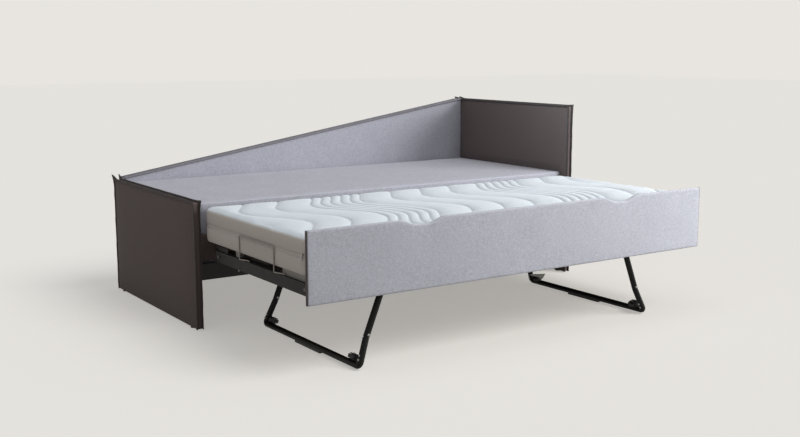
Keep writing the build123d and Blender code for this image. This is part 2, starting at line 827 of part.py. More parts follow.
with BuildPart() as rear_catches:
    catch_x = rail_outer_x - catch_inset - catch_thickness
    catch_front = frame_rear_y + catch_overhang - catch_length
    catch_tip = frame_rear_y + catch_overhang
    mouth_back = frame_rear_y + catch_mouth
    for start_x in (catch_x, -catch_x - catch_thickness):
        with BuildSketch(Plane.YZ.offset(start_x)):
            Polygon(
                (catch_front, rail_top), (frame_rear_y, rail_top),
                (frame_rear_y, rail_top + catch_mouth_height), (mouth_back, rail_top + catch_mouth_height),
                (mouth_back, rail_top - catch_tooth), (catch_tip, rail_top - catch_tooth),
                (catch_tip, rail_top + catch_height), (catch_front, rail_top + catch_height), align=None,
            )
        extrude(amount=catch_thickness)
save(rear_catches, "rear_catches")

# Hinges under the front and rear beams

hinge_inner = leg_tube_radius + hinge_side_gap
hinge_outer = hinge_inner + hinge_plate
hinge_places = [(x, y) for x in (left_hinge_x, right_hinge_x) for y in (front_hinge_y, rear_hinge_y)]

with BuildPart() as hinge_brackets:
    plate_height = hinge_drop + hinge_lip
    with Locations(*[(x, y, beam_bottom) for x, y in hinge_places]):
        Box(hinge_length, 2 * hinge_outer, plate_height, align=hanging)
        with Locations((0, 0, -hinge_plate)):
            Box(hinge_length + overrun, 2 * hinge_inner, plate_height, align=hanging, mode=Mode.SUBTRACT)
        with Locations(Location((0, 0, -hinge_drop), (90, 0, 0))):
            Cylinder(hinge_pin_radius + hole_clearance, 2 * hinge_outer + overrun, mode=Mode.SUBTRACT)
save(hinge_brackets, "hinge_brackets")

with BuildPart() as hinge_pins:
    head_shift = hinge_outer + hinge_pin_head_height / 2
    with Locations(*[Location((x, y, hinge_z), (90, 0, 0)) for x, y in hinge_places]):
        Cylinder(hinge_pin_radius, 2 * hinge_outer)
        with Locations((0, 0, head_shift), (0, 0, -head_shift)):
            Cylinder(hinge_pin_head, hinge_pin_head_height)
save(hinge_pins, "hinge_pins")

# Folding legs


def leg_plane(side, hinge_x):
    """Return a leg's own plane: x runs along +Y, and y runs down the leg from its hinge."""
    normal = (-cos(leg_lean), 0, -side * sin(leg_lean))
    return Plane((hinge_x, 0, hinge_z), x_dir=(0, 1, 0), z_dir=normal)


def upright_y(hinge_y, bar_y, reach):
    """Return where a flared lower upright lies at a reach below the knee."""
    return hinge_y + (bar_y - hinge_y) * (reach - knee_reach) / (bar_reach - knee_reach)


uprights = ((front_hinge_y, bar_front_y), (rear_hinge_y, bar_rear_y))
corner_rivet_places = [
    (upright_y(hinge_y, bar_y, bar_reach - rise), bar_reach - rise)
    for hinge_y, bar_y in uprights for rise in corner_rivet_rises
]
knee_rivet_reach = knee_reach - knee_rivet_rise
wheel_places = {"front": (front_wheel_y, 1), "rear": (rear_wheel_y, -1)}


def cut_rivets():
    """Cut the rivets' holes through the tubes of the leg that is being modelled."""
    with Locations(*[Location((hinge_y, knee_rivet_reach, 0), (0, 90, 0)) for hinge_y, bar_y in uprights]):
        Cylinder(rivet_radius + hole_clearance, 2 * (leg_tube_radius + overrun), mode=Mode.SUBTRACT)
    with Locations(*[(y, reach, 0) for y, reach in corner_rivet_places]):
        Cylinder(rivet_radius + hole_clearance, 2 * (leg_tube_radius + overrun), mode=Mode.SUBTRACT)


def add_rivet():
    """Add a rivet through a tube at each place, with a domed head on each side."""
    Cylinder(rivet_radius, 2 * leg_tube_radius)
    with Locations(Location((0, 0, leg_tube_radius)), Location((0, 0, -leg_tube_radius), (180, 0, 0))):
        Cone(rivet_head, rivet_radius, rivet_dome, align=standing)


def make_leg_tubes(name, plane):
    """Model the lower tube loop, with its spigots, and the two upper tubes."""
    spigot_radius = leg_tube_radius - leg_tube_wall - hole_clearance
    bore_start = knee_reach + 2 * spigot_root
    bore_ends = [(upright_y(hinge_y, bar_y, bore_start), bore_start) for hinge_y, bar_y in uprights]
    corners = [(bar_front_y, bar_reach), (bar_rear_y, bar_reach)]
    with BuildPart(plane) as leg_loop:
        with BuildLine(plane) as outer_route:
            FilletPolyline(
                (front_hinge_y, knee_reach), *corners, (rear_hinge_y, knee_reach), radius=leg_bend,
            )
        with BuildSketch(Plane(origin=outer_route.line @ 0, z_dir=outer_route.line % 0)):
            Circle(leg_tube_radius)
        sweep()
        with BuildLine(plane) as bore_route:
            FilletPolyline(bore_ends[0], *corners, bore_ends[1], radius=leg_bend)
        with BuildSketch(Plane(origin=bore_route.line @ 0, z_dir=bore_route.line % 0)):
            Circle(leg_tube_radius - leg_tube_wall)
        sweep(mode=Mode.SUBTRACT)
        with Locations(*[Location((y, knee_reach + spigot_root, 0), (90, 0, 0)) for y, bar_y in uprights]):
            Cylinder(spigot_radius, spigot_length + spigot_root, align=standing)
        cut_rivets()
    save(leg_loop, f"{name}_leg_loop")

    with BuildPart(plane) as upper_tubes:
        top_length = knee_reach - knee_gap + leg_stub
        with Locations(*[Location((y, knee_reach - knee_gap, 0), (90, 0, 0)) for y, bar_y in uprights]):
            Cylinder(leg_tube_radius, top_length, align=standing)
            Cylinder(leg_tube_radius - leg_tube_wall, top_length, align=standing, mode=Mode.SUBTRACT)
        with Locations(*[Location((y, 0, 0), (0, 90, 0)) for y, bar_y in uprights]):
            Cylinder(
                hinge_pin_radius + hole_clearance, 2 * (leg_tube_radius + overrun), mode=Mode.SUBTRACT,
            )
        cut_rivets()
    save(upper_tubes, f"{name}_leg_upper_tubes")

    with BuildPart(plane) as leg_rivets:
        with Locations(*[Location((y, knee_rivet_reach, 0), (0, 90, 0)) for y, bar_y in uprights]):
            add_rivet()
        with Locations(*[(y, reach, 0) for y, reach in corner_rivet_places]):
            add_rivet()
    save(leg_rivets, f"{name}_leg_rivets")


def make_wheels(name, plane):
    """Model a leg's two wheels, their axles and the brackets that stand on the leg's bar."""
    web_shift = wheel_radius + wheel_gap + wheel_plate / 2
    plate_length = web_shift + wheel_plate / 2 + wheel_plate_tail
    with BuildPart(plane) as wheel_brackets:
        for wheel_y, inward in wheel_places.values():
            plate_y = wheel_y + inward * (wheel_plate_tail - plate_length / 2)
            with Locations((plate_y, low_plate_reach, 0), (plate_y, high_plate_reach, 0)):
                Box(plate_length, wheel_plate, wheel_plate_width)
            with Locations((wheel_y - inward * web_shift, (low_plate_reach + high_plate_reach) / 2, 0)):
                Box(wheel_plate, low_plate_reach - high_plate_reach, wheel_plate_width)
            with Locations(Location((wheel_y, wheel_reach, 0), (90, 0, 0))):
                Cylinder(
                    axle_radius + hole_clearance, low_plate_reach - high_plate_reach + 2 * wheel_plate,
                    mode=Mode.SUBTRACT,
                )
    save(wheel_brackets, f"{name}_wheel_brackets")

    axle_length = low_plate_reach - high_plate_reach + wheel_plate
    with BuildPart(plane) as wheel_axles:
        with Locations(*[Location((y, wheel_reach, 0), (90, 0, 0)) for y, inward in wheel_places.values()]):
            Cylinder(axle_radius, axle_length)
            with Locations((0, 0, axle_length / 2)):
                Cylinder(axle_head, axle_head_height, align=standing)
    save(wheel_axles, f"{name}_wheel_axles")

    for place, (wheel_y, inward) in wheel_places.items():
        with BuildPart(plane) as wheel:
            with Locations(Location((wheel_y, wheel_reach, 0), (90, 0, 0))):
                Cylinder(wheel_radius, wheel_width)
            fillet(wheel.edges().filter_by(GeomType.CIRCLE), radius=wheel_edge)
            with Locations(Location((wheel_y, wheel_reach, 0), (90, 0, 0))):
                Cylinder(axle_radius + hole_clearance, wheel_width, mode=Mode.SUBTRACT)
        save(wheel, f"{name}_{place}_wheel")


def make_foot_pad(name, side, hinge_x):
    """Model the pad under the middle of a leg's bar, hollowed to fit the tube."""
    bar_x = hinge_x + side * bar_reach * sin(leg_lean)
    with BuildPart() as foot_pad:
        with Locations((bar_x, (bar_front_y + bar_rear_y) / 2, 0)):
            Box(foot_pad_width, foot_pad_length, foot_pad_height + foot_pad_wrap, align=standing)
            with Locations(Location((0, 0, foot_pad_height + leg_tube_radius), (90, 0, 0))):
                Cylinder(leg_tube_radius, foot_pad_length + overrun, mode=Mode.SUBTRACT)
    save(foot_pad, f"{name}_foot_pad")


def make_leg(side, hinge_x):
    """Model one folding leg with everything that it carries."""
    name = "left" if side < 0 else "right"
    plane = leg_plane(side, hinge_x)
    make_leg_tubes(name, plane)
    make_wheels(name, plane)
    make_foot_pad(name, side, hinge_x)


make_leg(-1, left_hinge_x)
make_leg(1, right_hinge_x)

# The right leg alone has a blade that stands on its rear wheel bracket

with BuildPart() as right_leg_blade:
    blade_plane = leg_plane(1, right_hinge_x).offset(blade_shift - blade_thickness / 2)
    blade_foot = high_plate_reach - wheel_plate / 2
    blade_back = upright_y(rear_hinge_y, bar_rear_y, blade_foot) - leg_tube_radius - soft_gap
    with BuildSketch(blade_plane):
        Polygon(
            (blade_back, blade_foot), (blade_back, blade_foot - blade_root),
            (blade_back - blade_length, blade_foot - blade_rise),
            (blade_back - blade_length + blade_toe, blade_foot), align=None,
        )
    extrude(amount=blade_thickness)
save(right_leg_blade, "right_leg_blade")
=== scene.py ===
import json
import logging
import math
from dataclasses import dataclass, field
from enum import Enum
from functools import cached_property
from typing import Optional, Sequence

import bmesh
import bpy
from mathutils import Euler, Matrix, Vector

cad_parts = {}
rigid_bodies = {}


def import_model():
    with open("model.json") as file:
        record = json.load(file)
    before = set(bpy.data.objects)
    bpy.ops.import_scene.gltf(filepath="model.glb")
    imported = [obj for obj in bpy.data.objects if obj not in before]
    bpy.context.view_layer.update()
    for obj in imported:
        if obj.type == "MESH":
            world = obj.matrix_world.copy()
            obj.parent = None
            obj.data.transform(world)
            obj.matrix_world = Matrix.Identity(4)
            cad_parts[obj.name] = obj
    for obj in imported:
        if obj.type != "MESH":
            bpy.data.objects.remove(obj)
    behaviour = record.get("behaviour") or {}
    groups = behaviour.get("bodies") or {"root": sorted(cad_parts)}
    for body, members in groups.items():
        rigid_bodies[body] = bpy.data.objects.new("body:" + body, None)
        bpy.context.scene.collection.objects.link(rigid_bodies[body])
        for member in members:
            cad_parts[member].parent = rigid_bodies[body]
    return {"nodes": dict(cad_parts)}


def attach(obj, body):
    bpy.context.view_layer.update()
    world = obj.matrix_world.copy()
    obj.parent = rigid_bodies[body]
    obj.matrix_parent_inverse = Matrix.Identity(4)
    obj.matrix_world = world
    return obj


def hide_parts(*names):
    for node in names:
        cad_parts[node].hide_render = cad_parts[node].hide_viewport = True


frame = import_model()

logging.basicConfig(level=logging.INFO, format="%(message)s")
log = logging.getLogger("daybed")

Point = tuple[float, float, float]
Colour = tuple[float, float, float]
Face = tuple[int, ...]
Value = bpy.types.NodeSocket | float | tuple

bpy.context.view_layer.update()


def linear(red: int, green: int, blue: int) -> Colour:
    """Turn an 8-bit screen colour into a linear one.

    Args:
        red: Red from 0 to 255.
        green: Green from 0 to 255.
        blue: Blue from 0 to 255.

    Returns:
        The linear colour.
    """
    parts = []
    for value in (red, green, blue):
        share = value / 255
        parts.append(share / 12.92 if share <= 0.04045 else ((share + 0.055) / 1.055) ** 2.4)
    return tuple(parts)


def scaled(colour: Colour, factor: float) -> Colour:
    """Return a colour made darker or lighter by a factor."""
    return tuple(min(1.0, part * factor) for part in colour)


# Node trees


def feed(
    tree: bpy.types.NodeTree, node: bpy.types.Node, inputs: dict[str | int, Value],
) -> bpy.types.Node:
    """Give a node's inputs a value each, or the socket that feeds them.

    Args:
        tree: The node's tree.
        node: The node.
        inputs: The values and sockets, by the input's name or number.

    Returns:
        The same node.
    """
    for name, value in inputs.items():
        if isinstance(value, bpy.types.NodeSocket):
            tree.links.new(value, node.inputs[name])
        else:
            node.inputs[name].default_value = value
    return node


def add_node(
    tree: bpy.types.NodeTree, kind: str, inputs: Optional[dict[str | int, Value]] = None,
    **settings: object,
) -> bpy.types.Node:
    """Add a node to a shader tree or a geometry tree.

    Args:
        tree: The tree.
        kind: The node's type.
        inputs: The values and sockets of its inputs.
        **settings: The node's own settings.

    Returns:
        The node.
    """
    node = tree.nodes.new(kind)
    for name, value in settings.items():
        setattr(node, name, value)
    return feed(tree, node, inputs or {})


def math_node(tree: bpy.types.NodeTree, operation: str, *values: Value) -> bpy.types.NodeSocket:
    """Add a Math node and return its output."""
    return add_node(
        tree, "ShaderNodeMath", dict(enumerate(values)), operation=operation).outputs[0]


def open_tree(
    tree: bpy.types.NodeTree, inputs: dict[str, str], outputs: dict[str, str],
) -> tuple[bpy.types.Node, bpy.types.Node]:
    """Give a tree its named inputs and outputs.

    Args:
        tree: The tree.
        inputs: Each input's name and kind, such as Float or Geometry.
        outputs: Each output's name and kind.

    Returns:
        The tree's input node and output node.
    """
    for way, sockets in (("INPUT", inputs), ("OUTPUT", outputs)):
        for name, kind in sockets.items():
            tree.interface.new_socket(name, in_out=way, socket_type=f"NodeSocket{kind}")
    return tree.nodes.new("NodeGroupInput"), tree.nodes.new("NodeGroupOutput")


def place_balls(
    tree: bpy.types.NodeTree, result: bpy.types.Node, detail: tuple[int, int],
    size: Sequence[Value], material: bpy.types.NodeSocket, inputs: dict[str | int, Value],
) -> None:
    """End a geometry tree with a stretched ball on each point, made real and dressed.

    Args:
        tree: The tree.
        result: The tree's output node.
        detail: How many segments and rings a ball has.
        size: How large the ball is along its three axes.
        material: The balls' material.
        inputs: Where the balls go and how they are turned.
    """
    segments, rings = detail
    ball = add_node(tree, "GeometryNodeMeshUVSphere", {
        "Segments": segments, "Rings": rings, "Radius": 1.0})
    scale = add_node(tree, "ShaderNodeCombineXYZ", dict(enumerate(size)))
    placed = add_node(tree, "GeometryNodeInstanceOnPoints", {
        **inputs, "Instance": ball.outputs["Mesh"], "Scale": scale.outputs[0]})
    real = add_node(tree, "GeometryNodeRealizeInstances", {
        "Geometry": placed.outputs["Instances"]})
    dressed = add_node(tree, "GeometryNodeSetMaterial", {
        "Geometry": real.outputs["Geometry"], "Material": material})
    feed(tree, result, {0: dressed.outputs["Geometry"]})


# Shared effects


class Effect(Enum):
    """The effects that several finishes share, each a node group."""

    WEAVE = "weave_effect"
    SLUB = "slub_effect"
    GRAIN = "grain_effect"
    WEAR = "wear_effect"


@dataclass
class EffectLibrary:
    """Builds each shared effect once, as a node group with named inputs and outputs."""

    groups: dict[Effect, bpy.types.NodeTree] = field(default_factory=dict)
    even: Point = (1, 1, 1)
    thread_scale: float = 340.0
    cloud_scale: float = 7.0
    dash_long: float = 70.0
    dash_short: float = 330.0
    dash_strength: float = 3.2
    line_stretch: Point = (90, 3, 90)
    ring_stretch: Point = (16, 1.2, 16)
    patch_scale: float = 24.0

    def get(self, effect: Effect) -> bpy.types.NodeTree:
        """Return an effect's node group, and build it the first time.

        Args:
            effect: The effect that is wanted.

        Returns:
            The node group.
        """
        if effect not in self.groups:
            makers = {
                Effect.WEAVE: self._weave, Effect.SLUB: self._slub,
                Effect.GRAIN: self._grain, Effect.WEAR: self._wear,
            }
            tree = bpy.data.node_groups.new(effect.value, "ShaderNodeTree")
            self.groups[effect] = tree
            makers[effect](tree)
        return self.groups[effect]

    @staticmethod
    def _open(
        tree: bpy.types.NodeTree, inputs: Sequence[str], outputs: Sequence[str],
    ) -> tuple[bpy.types.Node, bpy.types.Node]:
        """Give a group a coordinate, its numbers and its results.

        Args:
            tree: The node group.
            inputs: The names of the numbers that go in.
            outputs: The names of the results.

        Returns:
            The group's input node and output node.
        """
        return open_tree(
            tree, {"Place": "Vector", **dict.fromkeys(inputs, "Float")},
            dict.fromkeys(outputs, "Float"))

    @staticmethod
    def _noise(
        tree: bpy.types.NodeTree, place: bpy.types.NodeSocket, stretch: Point, scale: Value,
        detail: float,
    ) -> bpy.types.NodeSocket:
        """Add noise on stretched coordinates.

        Args:
            tree: The node group.
            place: The coordinates.
            stretch: How often the noise repeats along each axis, before its scale.
            scale: The noise's scale.
            detail: The noise's detail.

        Returns:
            The noise's value.
        """
        mapping = add_node(tree, "ShaderNodeMapping", {"Scale": stretch, "Vector": place})
        noise = add_node(tree, "ShaderNodeTexNoise", {
            "Detail": detail, "Scale": scale, "Vector": mapping.outputs["Vector"]})
        return noise.outputs[0]

    def _weave(self, tree: bpy.types.NodeTree) -> None:
        """Build the crossing threads of a cloth, along the piece's own three axes.

        Args:
            tree: The node group.
        """
        given, result = self._open(tree, ("Threads", "Uneven"), ("Height",))
        place = given.outputs["Place"]
        total: Value = 0.0
        for axis in add_node(tree, "ShaderNodeSeparateXYZ", {0: place}).outputs:
            angle = math_node(tree, "MULTIPLY", axis, given.outputs["Threads"])
            total = math_node(tree, "ADD", math_node(tree, "SINE", angle), total)
        threads = math_node(tree, "MULTIPLY", total, 1 / 6)
        rough = self._noise(tree, place, self.even, self.thread_scale, 2)
        uneven = math_node(tree, "MULTIPLY", rough, given.outputs["Uneven"])
        height = math_node(tree, "ADD", threads, uneven)
        feed(tree, result, {"Height": math_node(tree, "ADD", height, 0.5)})

    def _slub(self, tree: bpy.types.NodeTree) -> None:
        """Build the mixed yarns of a cloth: short light and dark dashes both ways.

        Args:
            tree: The node group.
        """
        given, result = self._open(tree, ("Fineness", "Cloudy"), ("Tone", "Cloud"))
        place, fine = given.outputs["Place"], given.outputs["Fineness"]
        long, short = self.dash_long, self.dash_short
        total: Value = 0.0
        for stretch in ((long, short, short), (short, short, long), (short, long, short)):
            total = math_node(tree, "ADD", self._noise(tree, place, stretch, fine, 2), total)
        mean = math_node(tree, "MULTIPLY", total, 1 / 3)
        tone = math_node(
            tree, "MULTIPLY", math_node(tree, "SUBTRACT", mean, 0.5), self.dash_strength)
        cloud = self._noise(tree, place, self.even, self.cloud_scale, 3)
        cloudy = math_node(
            tree, "MULTIPLY", math_node(tree, "SUBTRACT", cloud, 0.5), given.outputs["Cloudy"])
        tone = math_node(tree, "ADD", math_node(tree, "ADD", tone, cloudy), 0.5)
        feed(tree, result, {"Tone": tone, "Cloud": cloud})

    def _grain(self, tree: bpy.types.NodeTree) -> None:
        """Build long grain along one axis, as in wood, drawn wire or brushed metal.

        Args:
            tree: The node group.
        """
        given, result = self._open(tree, ("Fineness",), ("Lines", "Rings"))
        place, fine = given.outputs["Place"], given.outputs["Fineness"]
        feed(tree, result, {
            "Lines": self._noise(tree, place, self.line_stretch, fine, 4),
            "Rings": self._noise(tree, place, self.ring_stretch, fine, 2),
        })

    def _wear(self, tree: bpy.types.NodeTree) -> None:
        """Build the faint orange peel and rubbed patches of a painted or moulded surface.

        Args:
            tree: The node group.
        """
        given, result = self._open(tree, ("Fineness", "Rubbed"), ("Peel", "Patches"))
        place = given.outputs["Place"]
        patches = self._noise(tree, place, self.even, self.patch_scale, 5)
        centred = math_node(tree, "SUBTRACT", patches, 0.5)
        strong = math_node(tree, "MULTIPLY", centred, given.outputs["Rubbed"])
        feed(tree, result, {
            "Peel": self._noise(tree, place, self.even, given.outputs["Fineness"], 2),
            "Patches": math_node(tree, "ADD", strong, 0.5),
        })


effects = EffectLibrary()


# Finishes


@dataclass(frozen=True)
class Finish:
    """What every finish has: a name, a base colour, a roughness and its colour's changes."""

    name: str
    colour: Colour
    roughness: float = 0.5
    contrast: float = 0.2

    def build(self) -> bpy.types.Material:
        """Build the finish, or return it if it was built before.

        Returns:
            The material.
        """
        found = bpy.data.materials.get(self.name)
        if found is not None:
            return found
        material = bpy.data.materials.new(self.name)
        material.use_nodes = True
        tree = material.node_tree
        shader = feed(tree, tree.nodes["Principled BSDF"], {
            "Base Color": (*self.colour, 1), "Roughness": self.roughness})
        self.dress(tree, shader, tree.nodes.new("ShaderNodeTexCoord").outputs["Object"])
        return material

    def dress(
        self, tree: bpy.types.NodeTree, shader: bpy.types.Node, place: bpy.types.NodeSocket,
    ) -> None:
        """Add the finish's own detail. The plain finish has none.

        Args:
            tree: The material's node tree.
            shader: Its Principled shader.
            place: The object coordinates.
        """

    @staticmethod
    def effect(
        tree: bpy.types.NodeTree, effect: Effect, place: bpy.types.NodeSocket, **values: float,
    ) -> bpy.types.Node:
        """Place a shared effect in the material.

        Args:
            tree: The material's node tree.
            effect: The effect.
            place: The coordinates that it follows.
            **values: The values of its named inputs.

        Returns:
            The group node.
        """
        node = add_node(tree, "ShaderNodeGroup", node_tree=effects.get(effect))
        return feed(tree, node, {"Place": place, **values})

    @staticmethod
    def tint(
        tree: bpy.types.NodeTree, mask: bpy.types.NodeSocket, dark: Colour, light: Colour,
    ) -> bpy.types.NodeSocket:
        """Blend two colours by a mask.

        Args:
            tree: The material's node tree.
            mask: The mask, from 0 for dark to 1 for light.
            dark: The colour at 0.
            light: The colour at 1.

        Returns:
            The blended colour.
        """
        mix = add_node(
            tree, "ShaderNodeMix", {"A": (*dark, 1), "B": (*light, 1), "Factor": mask},
            data_type="RGBA", clamp_factor=True)
        return mix.outputs["Result"]

    def varied(
        self, tree: bpy.types.NodeTree, mask: bpy.types.NodeSocket,
    ) -> bpy.types.NodeSocket:
        """Make the base colour darker and lighter by a mask.

        Args:
            tree: The material's node tree.
            mask: The mask.

        Returns:
            The varied colour.
        """
        dark, light = (scaled(self.colour, 1 + sign * self.contrast) for sign in (-1, 1))
        return self.tint(tree, mask, dark, light)

    @staticmethod
    def bump(
        tree: bpy.types.NodeTree, shader: bpy.types.Node, height: bpy.types.NodeSocket,
        distance: float, strength: float, under: Optional[bpy.types.NodeSocket] = None,
    ) -> bpy.types.NodeSocket:
        """Feed a height into the shader's normal.

        Args:
            tree: The material's node tree.
            shader: Its Principled shader.
            height: The height.
            distance: How deep the bump is, in metres.
            strength: How strong the bump is.
            under: The normal that this bump lies on.

        Returns:
            The new normal.
        """
        node = add_node(tree, "ShaderNodeBump", {
            "Distance": distance, "Strength": strength, "Height": height})
        if under is not None:
            feed(tree, node, {"Normal": under})
        feed(tree, shader, {"Normal": node.outputs["Normal"]})
        return node.outputs["Normal"]


@dataclass(frozen=True)
class WovenFinish(Finish):
    """Upholstery cloth with visible threads and mixed yarns."""

    threads: float = 2100.0
    fineness: float = 1.0
    cloudy: float = 0.3
    sheen: float = 0.15
    sheen_roughness: float = 0.45
    shine: float = 0.25
    uneven: float = 0.6
    cloud_depth: float = 0.004
    cloud_bump: float = 0.25
    depth: float = 0.0006
    thread_bump: float = 0.6

    def dress(
        self, tree: bpy.types.NodeTree, shader: bpy.types.Node, place: bpy.types.NodeSocket,
    ) -> None:
        """Add the yarn's colour changes and the threads' bump.

        Args:
            tree: The material's node tree.
            shader: Its Principled shader.
            place: The object coordinates.
        """
        slub = self.effect(tree, Effect.SLUB, place, Fineness=self.fineness, Cloudy=self.cloudy)
        weave = self.effect(
            tree, Effect.WEAVE, place, Threads=self.threads, Uneven=self.uneven)
        feed(tree, shader, {
            "Base Color": self.varied(tree, slub.outputs["Tone"]), "Sheen Weight": self.sheen,
            "Sheen Roughness": self.sheen_roughness, "Sheen Tint": (1.0, 1.0, 1.0, 1.0),
            "Specular IOR Level": self.shine,
        })
        normal = self.bump(
            tree, shader, slub.outputs["Cloud"], self.cloud_depth, self.cloud_bump)
        height = weave.outputs["Height"]
        self.bump(tree, shader, height, self.depth, self.thread_bump, normal)


@dataclass(frozen=True)
class PaintedBounceFinish(WovenFinish):
    """Cloth whose colour turns warmer below a height: painted warm bounce light on a mattress's
    shaded border.
    """

    painted_bounce_colour: Colour = (0.5, 0.5, 0.5)
    fade_low: float = 0.0
    fade_high: float = 1.0

    def dress(
        self, tree: bpy.types.NodeTree, shader: bpy.types.Node, place: bpy.types.NodeSocket,
    ) -> None:
        """Add the cloth's detail, then blend in by height the warmer colour that paints bounce
        light on the border.

        Args:
            tree: The material's node tree.
            shader: Its Principled shader.
            place: The object coordinates.
        """
        super().dress(tree, shader, place)
        upper = shader.inputs["Base Color"].links[0].from_socket
        # Below the fade the colour turns to the painted warm bounce light of the shaded border.
        split = add_node(tree, "ShaderNodeSeparateXYZ", {0: place})
        fade = add_node(tree, "ShaderNodeMapRange", {
            "From Min": self.fade_low, "From Max": self.fade_high, "Value": split.outputs["Z"],
        }, interpolation_type="SMOOTHSTEP")
        mix = add_node(tree, "ShaderNodeMix", {
            "A": (*self.painted_bounce_colour, 1), "B": upper, "Factor": fade.outputs["Result"],
        }, data_type="RGBA")
        feed(tree, shader, {"Base Color": mix.outputs["Result"]})


@dataclass(frozen=True)
class GrainFinish(Finish):
    """Wood, or any material with long grain along the bed's depth."""

    contrast: float = 0.25
    fineness: float = 1.0
    line_share: float = 0.7
    centre: float = 0.35
    depth: float = 0.0003
    line_bump: float = 0.4

    def dress(
        self, tree: bpy.types.NodeTree, shader: bpy.types.Node, place: bpy.types.NodeSocket,
    ) -> None:
        """Add the grain's colour and its bump.

        Args:
            tree: The material's node tree.
            shader: Its Principled shader.
            place: The object coordinates.
        """
        grain = self.effect(tree, Effect.GRAIN, place, Fineness=self.fineness)
        lines, rings = grain.outputs["Lines"], grain.outputs["Rings"]
        blend = math_node(tree, "MULTIPLY_ADD", lines, self.line_share, rings)
        centred = math_node(tree, "SUBTRACT", blend, self.centre)
        feed(tree, shader, {"Base Color": self.varied(tree, centred)})
        self.bump(tree, shader, lines, self.depth, self.line_bump)


@dataclass(frozen=True)
class CoatFinish(Finish):
    """Paint, plated metal or moulded plastic, with orange peel and rubbed patches."""

    contrast: float = 0.15
    metal: float = 0.0
    fineness: float = 600.0
    rubbed: float = 0.5
    roughness_range: float = 0.12
    depth: float = 0.0002
    peel_bump: float = 0.35
    shine: float = 0.5

    def dress(
        self, tree: bpy.types.NodeTree, shader: bpy.types.Node, place: bpy.types.NodeSocket,
    ) -> None:
        """Add the patches to the colour and the roughness, and the peel to the bump.

        Args:
            tree: The material's node tree.
            shader: Its Principled shader.
            place: The object coordinates.
        """
        wear = self.effect(
            tree, Effect.WEAR, place, Fineness=self.fineness, Rubbed=self.rubbed)
        patches = wear.outputs["Patches"]
        spread = add_node(tree, "ShaderNodeMapRange", {
            "To Min": self.roughness - self.roughness_range,
            "To Max": self.roughness + self.roughness_range, "Value": patches,
        })
        feed(tree, shader, {
            "Metallic": self.metal, "Specular IOR Level": self.shine,
            "Base Color": self.varied(tree, patches), "Roughness": spread.outputs["Result"],
        })
        self.bump(tree, shader, wear.outputs["Peel"], self.depth, self.peel_bump)


@dataclass(frozen=True)
class StageFinish(Finish):
    """The pale floor: part of it shines by itself to the camera, so that its tone stays even."""

    own_light: float = 0.5
    glow: float = 1.0
    bounce: float = 1.0

    def dress(
        self, tree: bpy.types.NodeTree, shader: bpy.types.Node, place: bpy.types.NodeSocket,
    ) -> None:
        """Mix the floor's own light in for the camera and for reflections.

        Args:
            tree: The material's node tree.
            shader: Its Principled shader.
            place: The object coordinates, which the floor doesn't need.
        """
        glow = add_node(tree, "ShaderNodeEmission", {
            "Color": (*self.colour, 1), "Strength": self.glow})
        rays = add_node(tree, "ShaderNodeLightPath").outputs
        dim = scaled(self.colour, self.bounce)
        feed(tree, shader, {
            "Specular IOR Level": 0.0,
            "Base Color": self.tint(tree, rays["Is Diffuse Ray"], self.colour, dim),
        })
        seen = math_node(tree, "MAXIMUM", rays["Is Camera Ray"], rays["Is Glossy Ray"])
        share = math_node(tree, "MULTIPLY", seen, self.own_light)
        mix = add_node(tree, "ShaderNodeMixShader", {
            "Fac": share, 1: shader.outputs[0], 2: glow.outputs[0]})
        feed(tree, tree.nodes["Material Output"], {"Surface": mix.outputs[0]})


BACKGROUND = linear(232, 229, 224)
GREY_CLOTH = WovenFinish(
    "grey_woven_cloth", linear(183, 183, 192), 0.85, contrast=0.21, sheen=0.08)
PANEL_CLOTH = WovenFinish(
    "panel_woven_cloth", linear(190, 190, 198), 0.85, contrast=0.22, sheen=0.08)
DARK_CLOTH = WovenFinish(
    "taupe_cloth", linear(97, 84, 82), 0.75, contrast=0.12, fineness=1.4, sheen=0.08,
    depth=0.0003)
WELT_CLOTH = WovenFinish(
    "taupe_welt_cloth", linear(74, 66, 65), 0.7, contrast=0.12, fineness=1.6, sheen=0.1,
    depth=0.0003)
GREY_WELT = WovenFinish("grey_welt_cloth", linear(138, 135, 140), 0.8, contrast=0.16)
# The ticking's warm border colour is painted warm bounce light on the mattress's shaded side, not
# a second cloth.
TICKING = PaintedBounceFinish(
    "quilted_ticking", linear(226, 234, 240), 0.9, contrast=0.03, threads=1500.0, cloudy=0.1,
    sheen=0.25, depth=0.0005, painted_bounce_colour=linear(230, 220, 211), fade_low=0.5035,
    fade_high=0.5135)
THREAD = WovenFinish("sewing_thread", linear(92, 84, 82), 0.7, contrast=0.1, fineness=3.0)
PALE_THREAD = WovenFinish("pale_thread", linear(196, 202, 208), 0.7, contrast=0.1, fineness=3.0)
GREY_THREAD = WovenFinish("grey_thread", linear(150, 148, 154), 0.7, contrast=0.1, fineness=3.0)
SLAT_WOOD = GrainFinish("bent_beech", linear(222, 196, 158), 0.45)
RAW_BOARD = GrainFinish("raw_board", linear(196, 172, 138), 0.75, contrast=0.18, fineness=1.6)
BLACK_BOARD = GrainFinish(
    "black_painted_board", linear(38, 35, 34), 0.5, contrast=0.3, fineness=1.4)
BLACK_PAINT = CoatFinish("satin_black_paint", linear(11, 10, 10), 0.5, shine=0.18)
BLACK_PLASTIC = CoatFinish(
    "black_moulded_plastic", linear(30, 29, 29), 0.55, fineness=900.0, roughness_range=0.08)
WHEEL_PLASTIC = CoatFinish(
    "wheel_plastic", linear(28, 27, 28), 0.38, fineness=900.0, roughness_range=0.08)
GREY_PLASTIC = CoatFinish(
    "grey_moulded_plastic", linear(146, 142, 138), 0.55, fineness=900.0, roughness_range=0.08)
BROWN_TRIM = CoatFinish("brown_edge_trim", linear(70, 60, 58), 0.6, fineness=1400.0)
WIRE_STEEL = CoatFinish(
    "drawn_wire_steel", linear(122, 117, 113), 0.35, metal=0.9, fineness=1200.0, depth=0.0001)
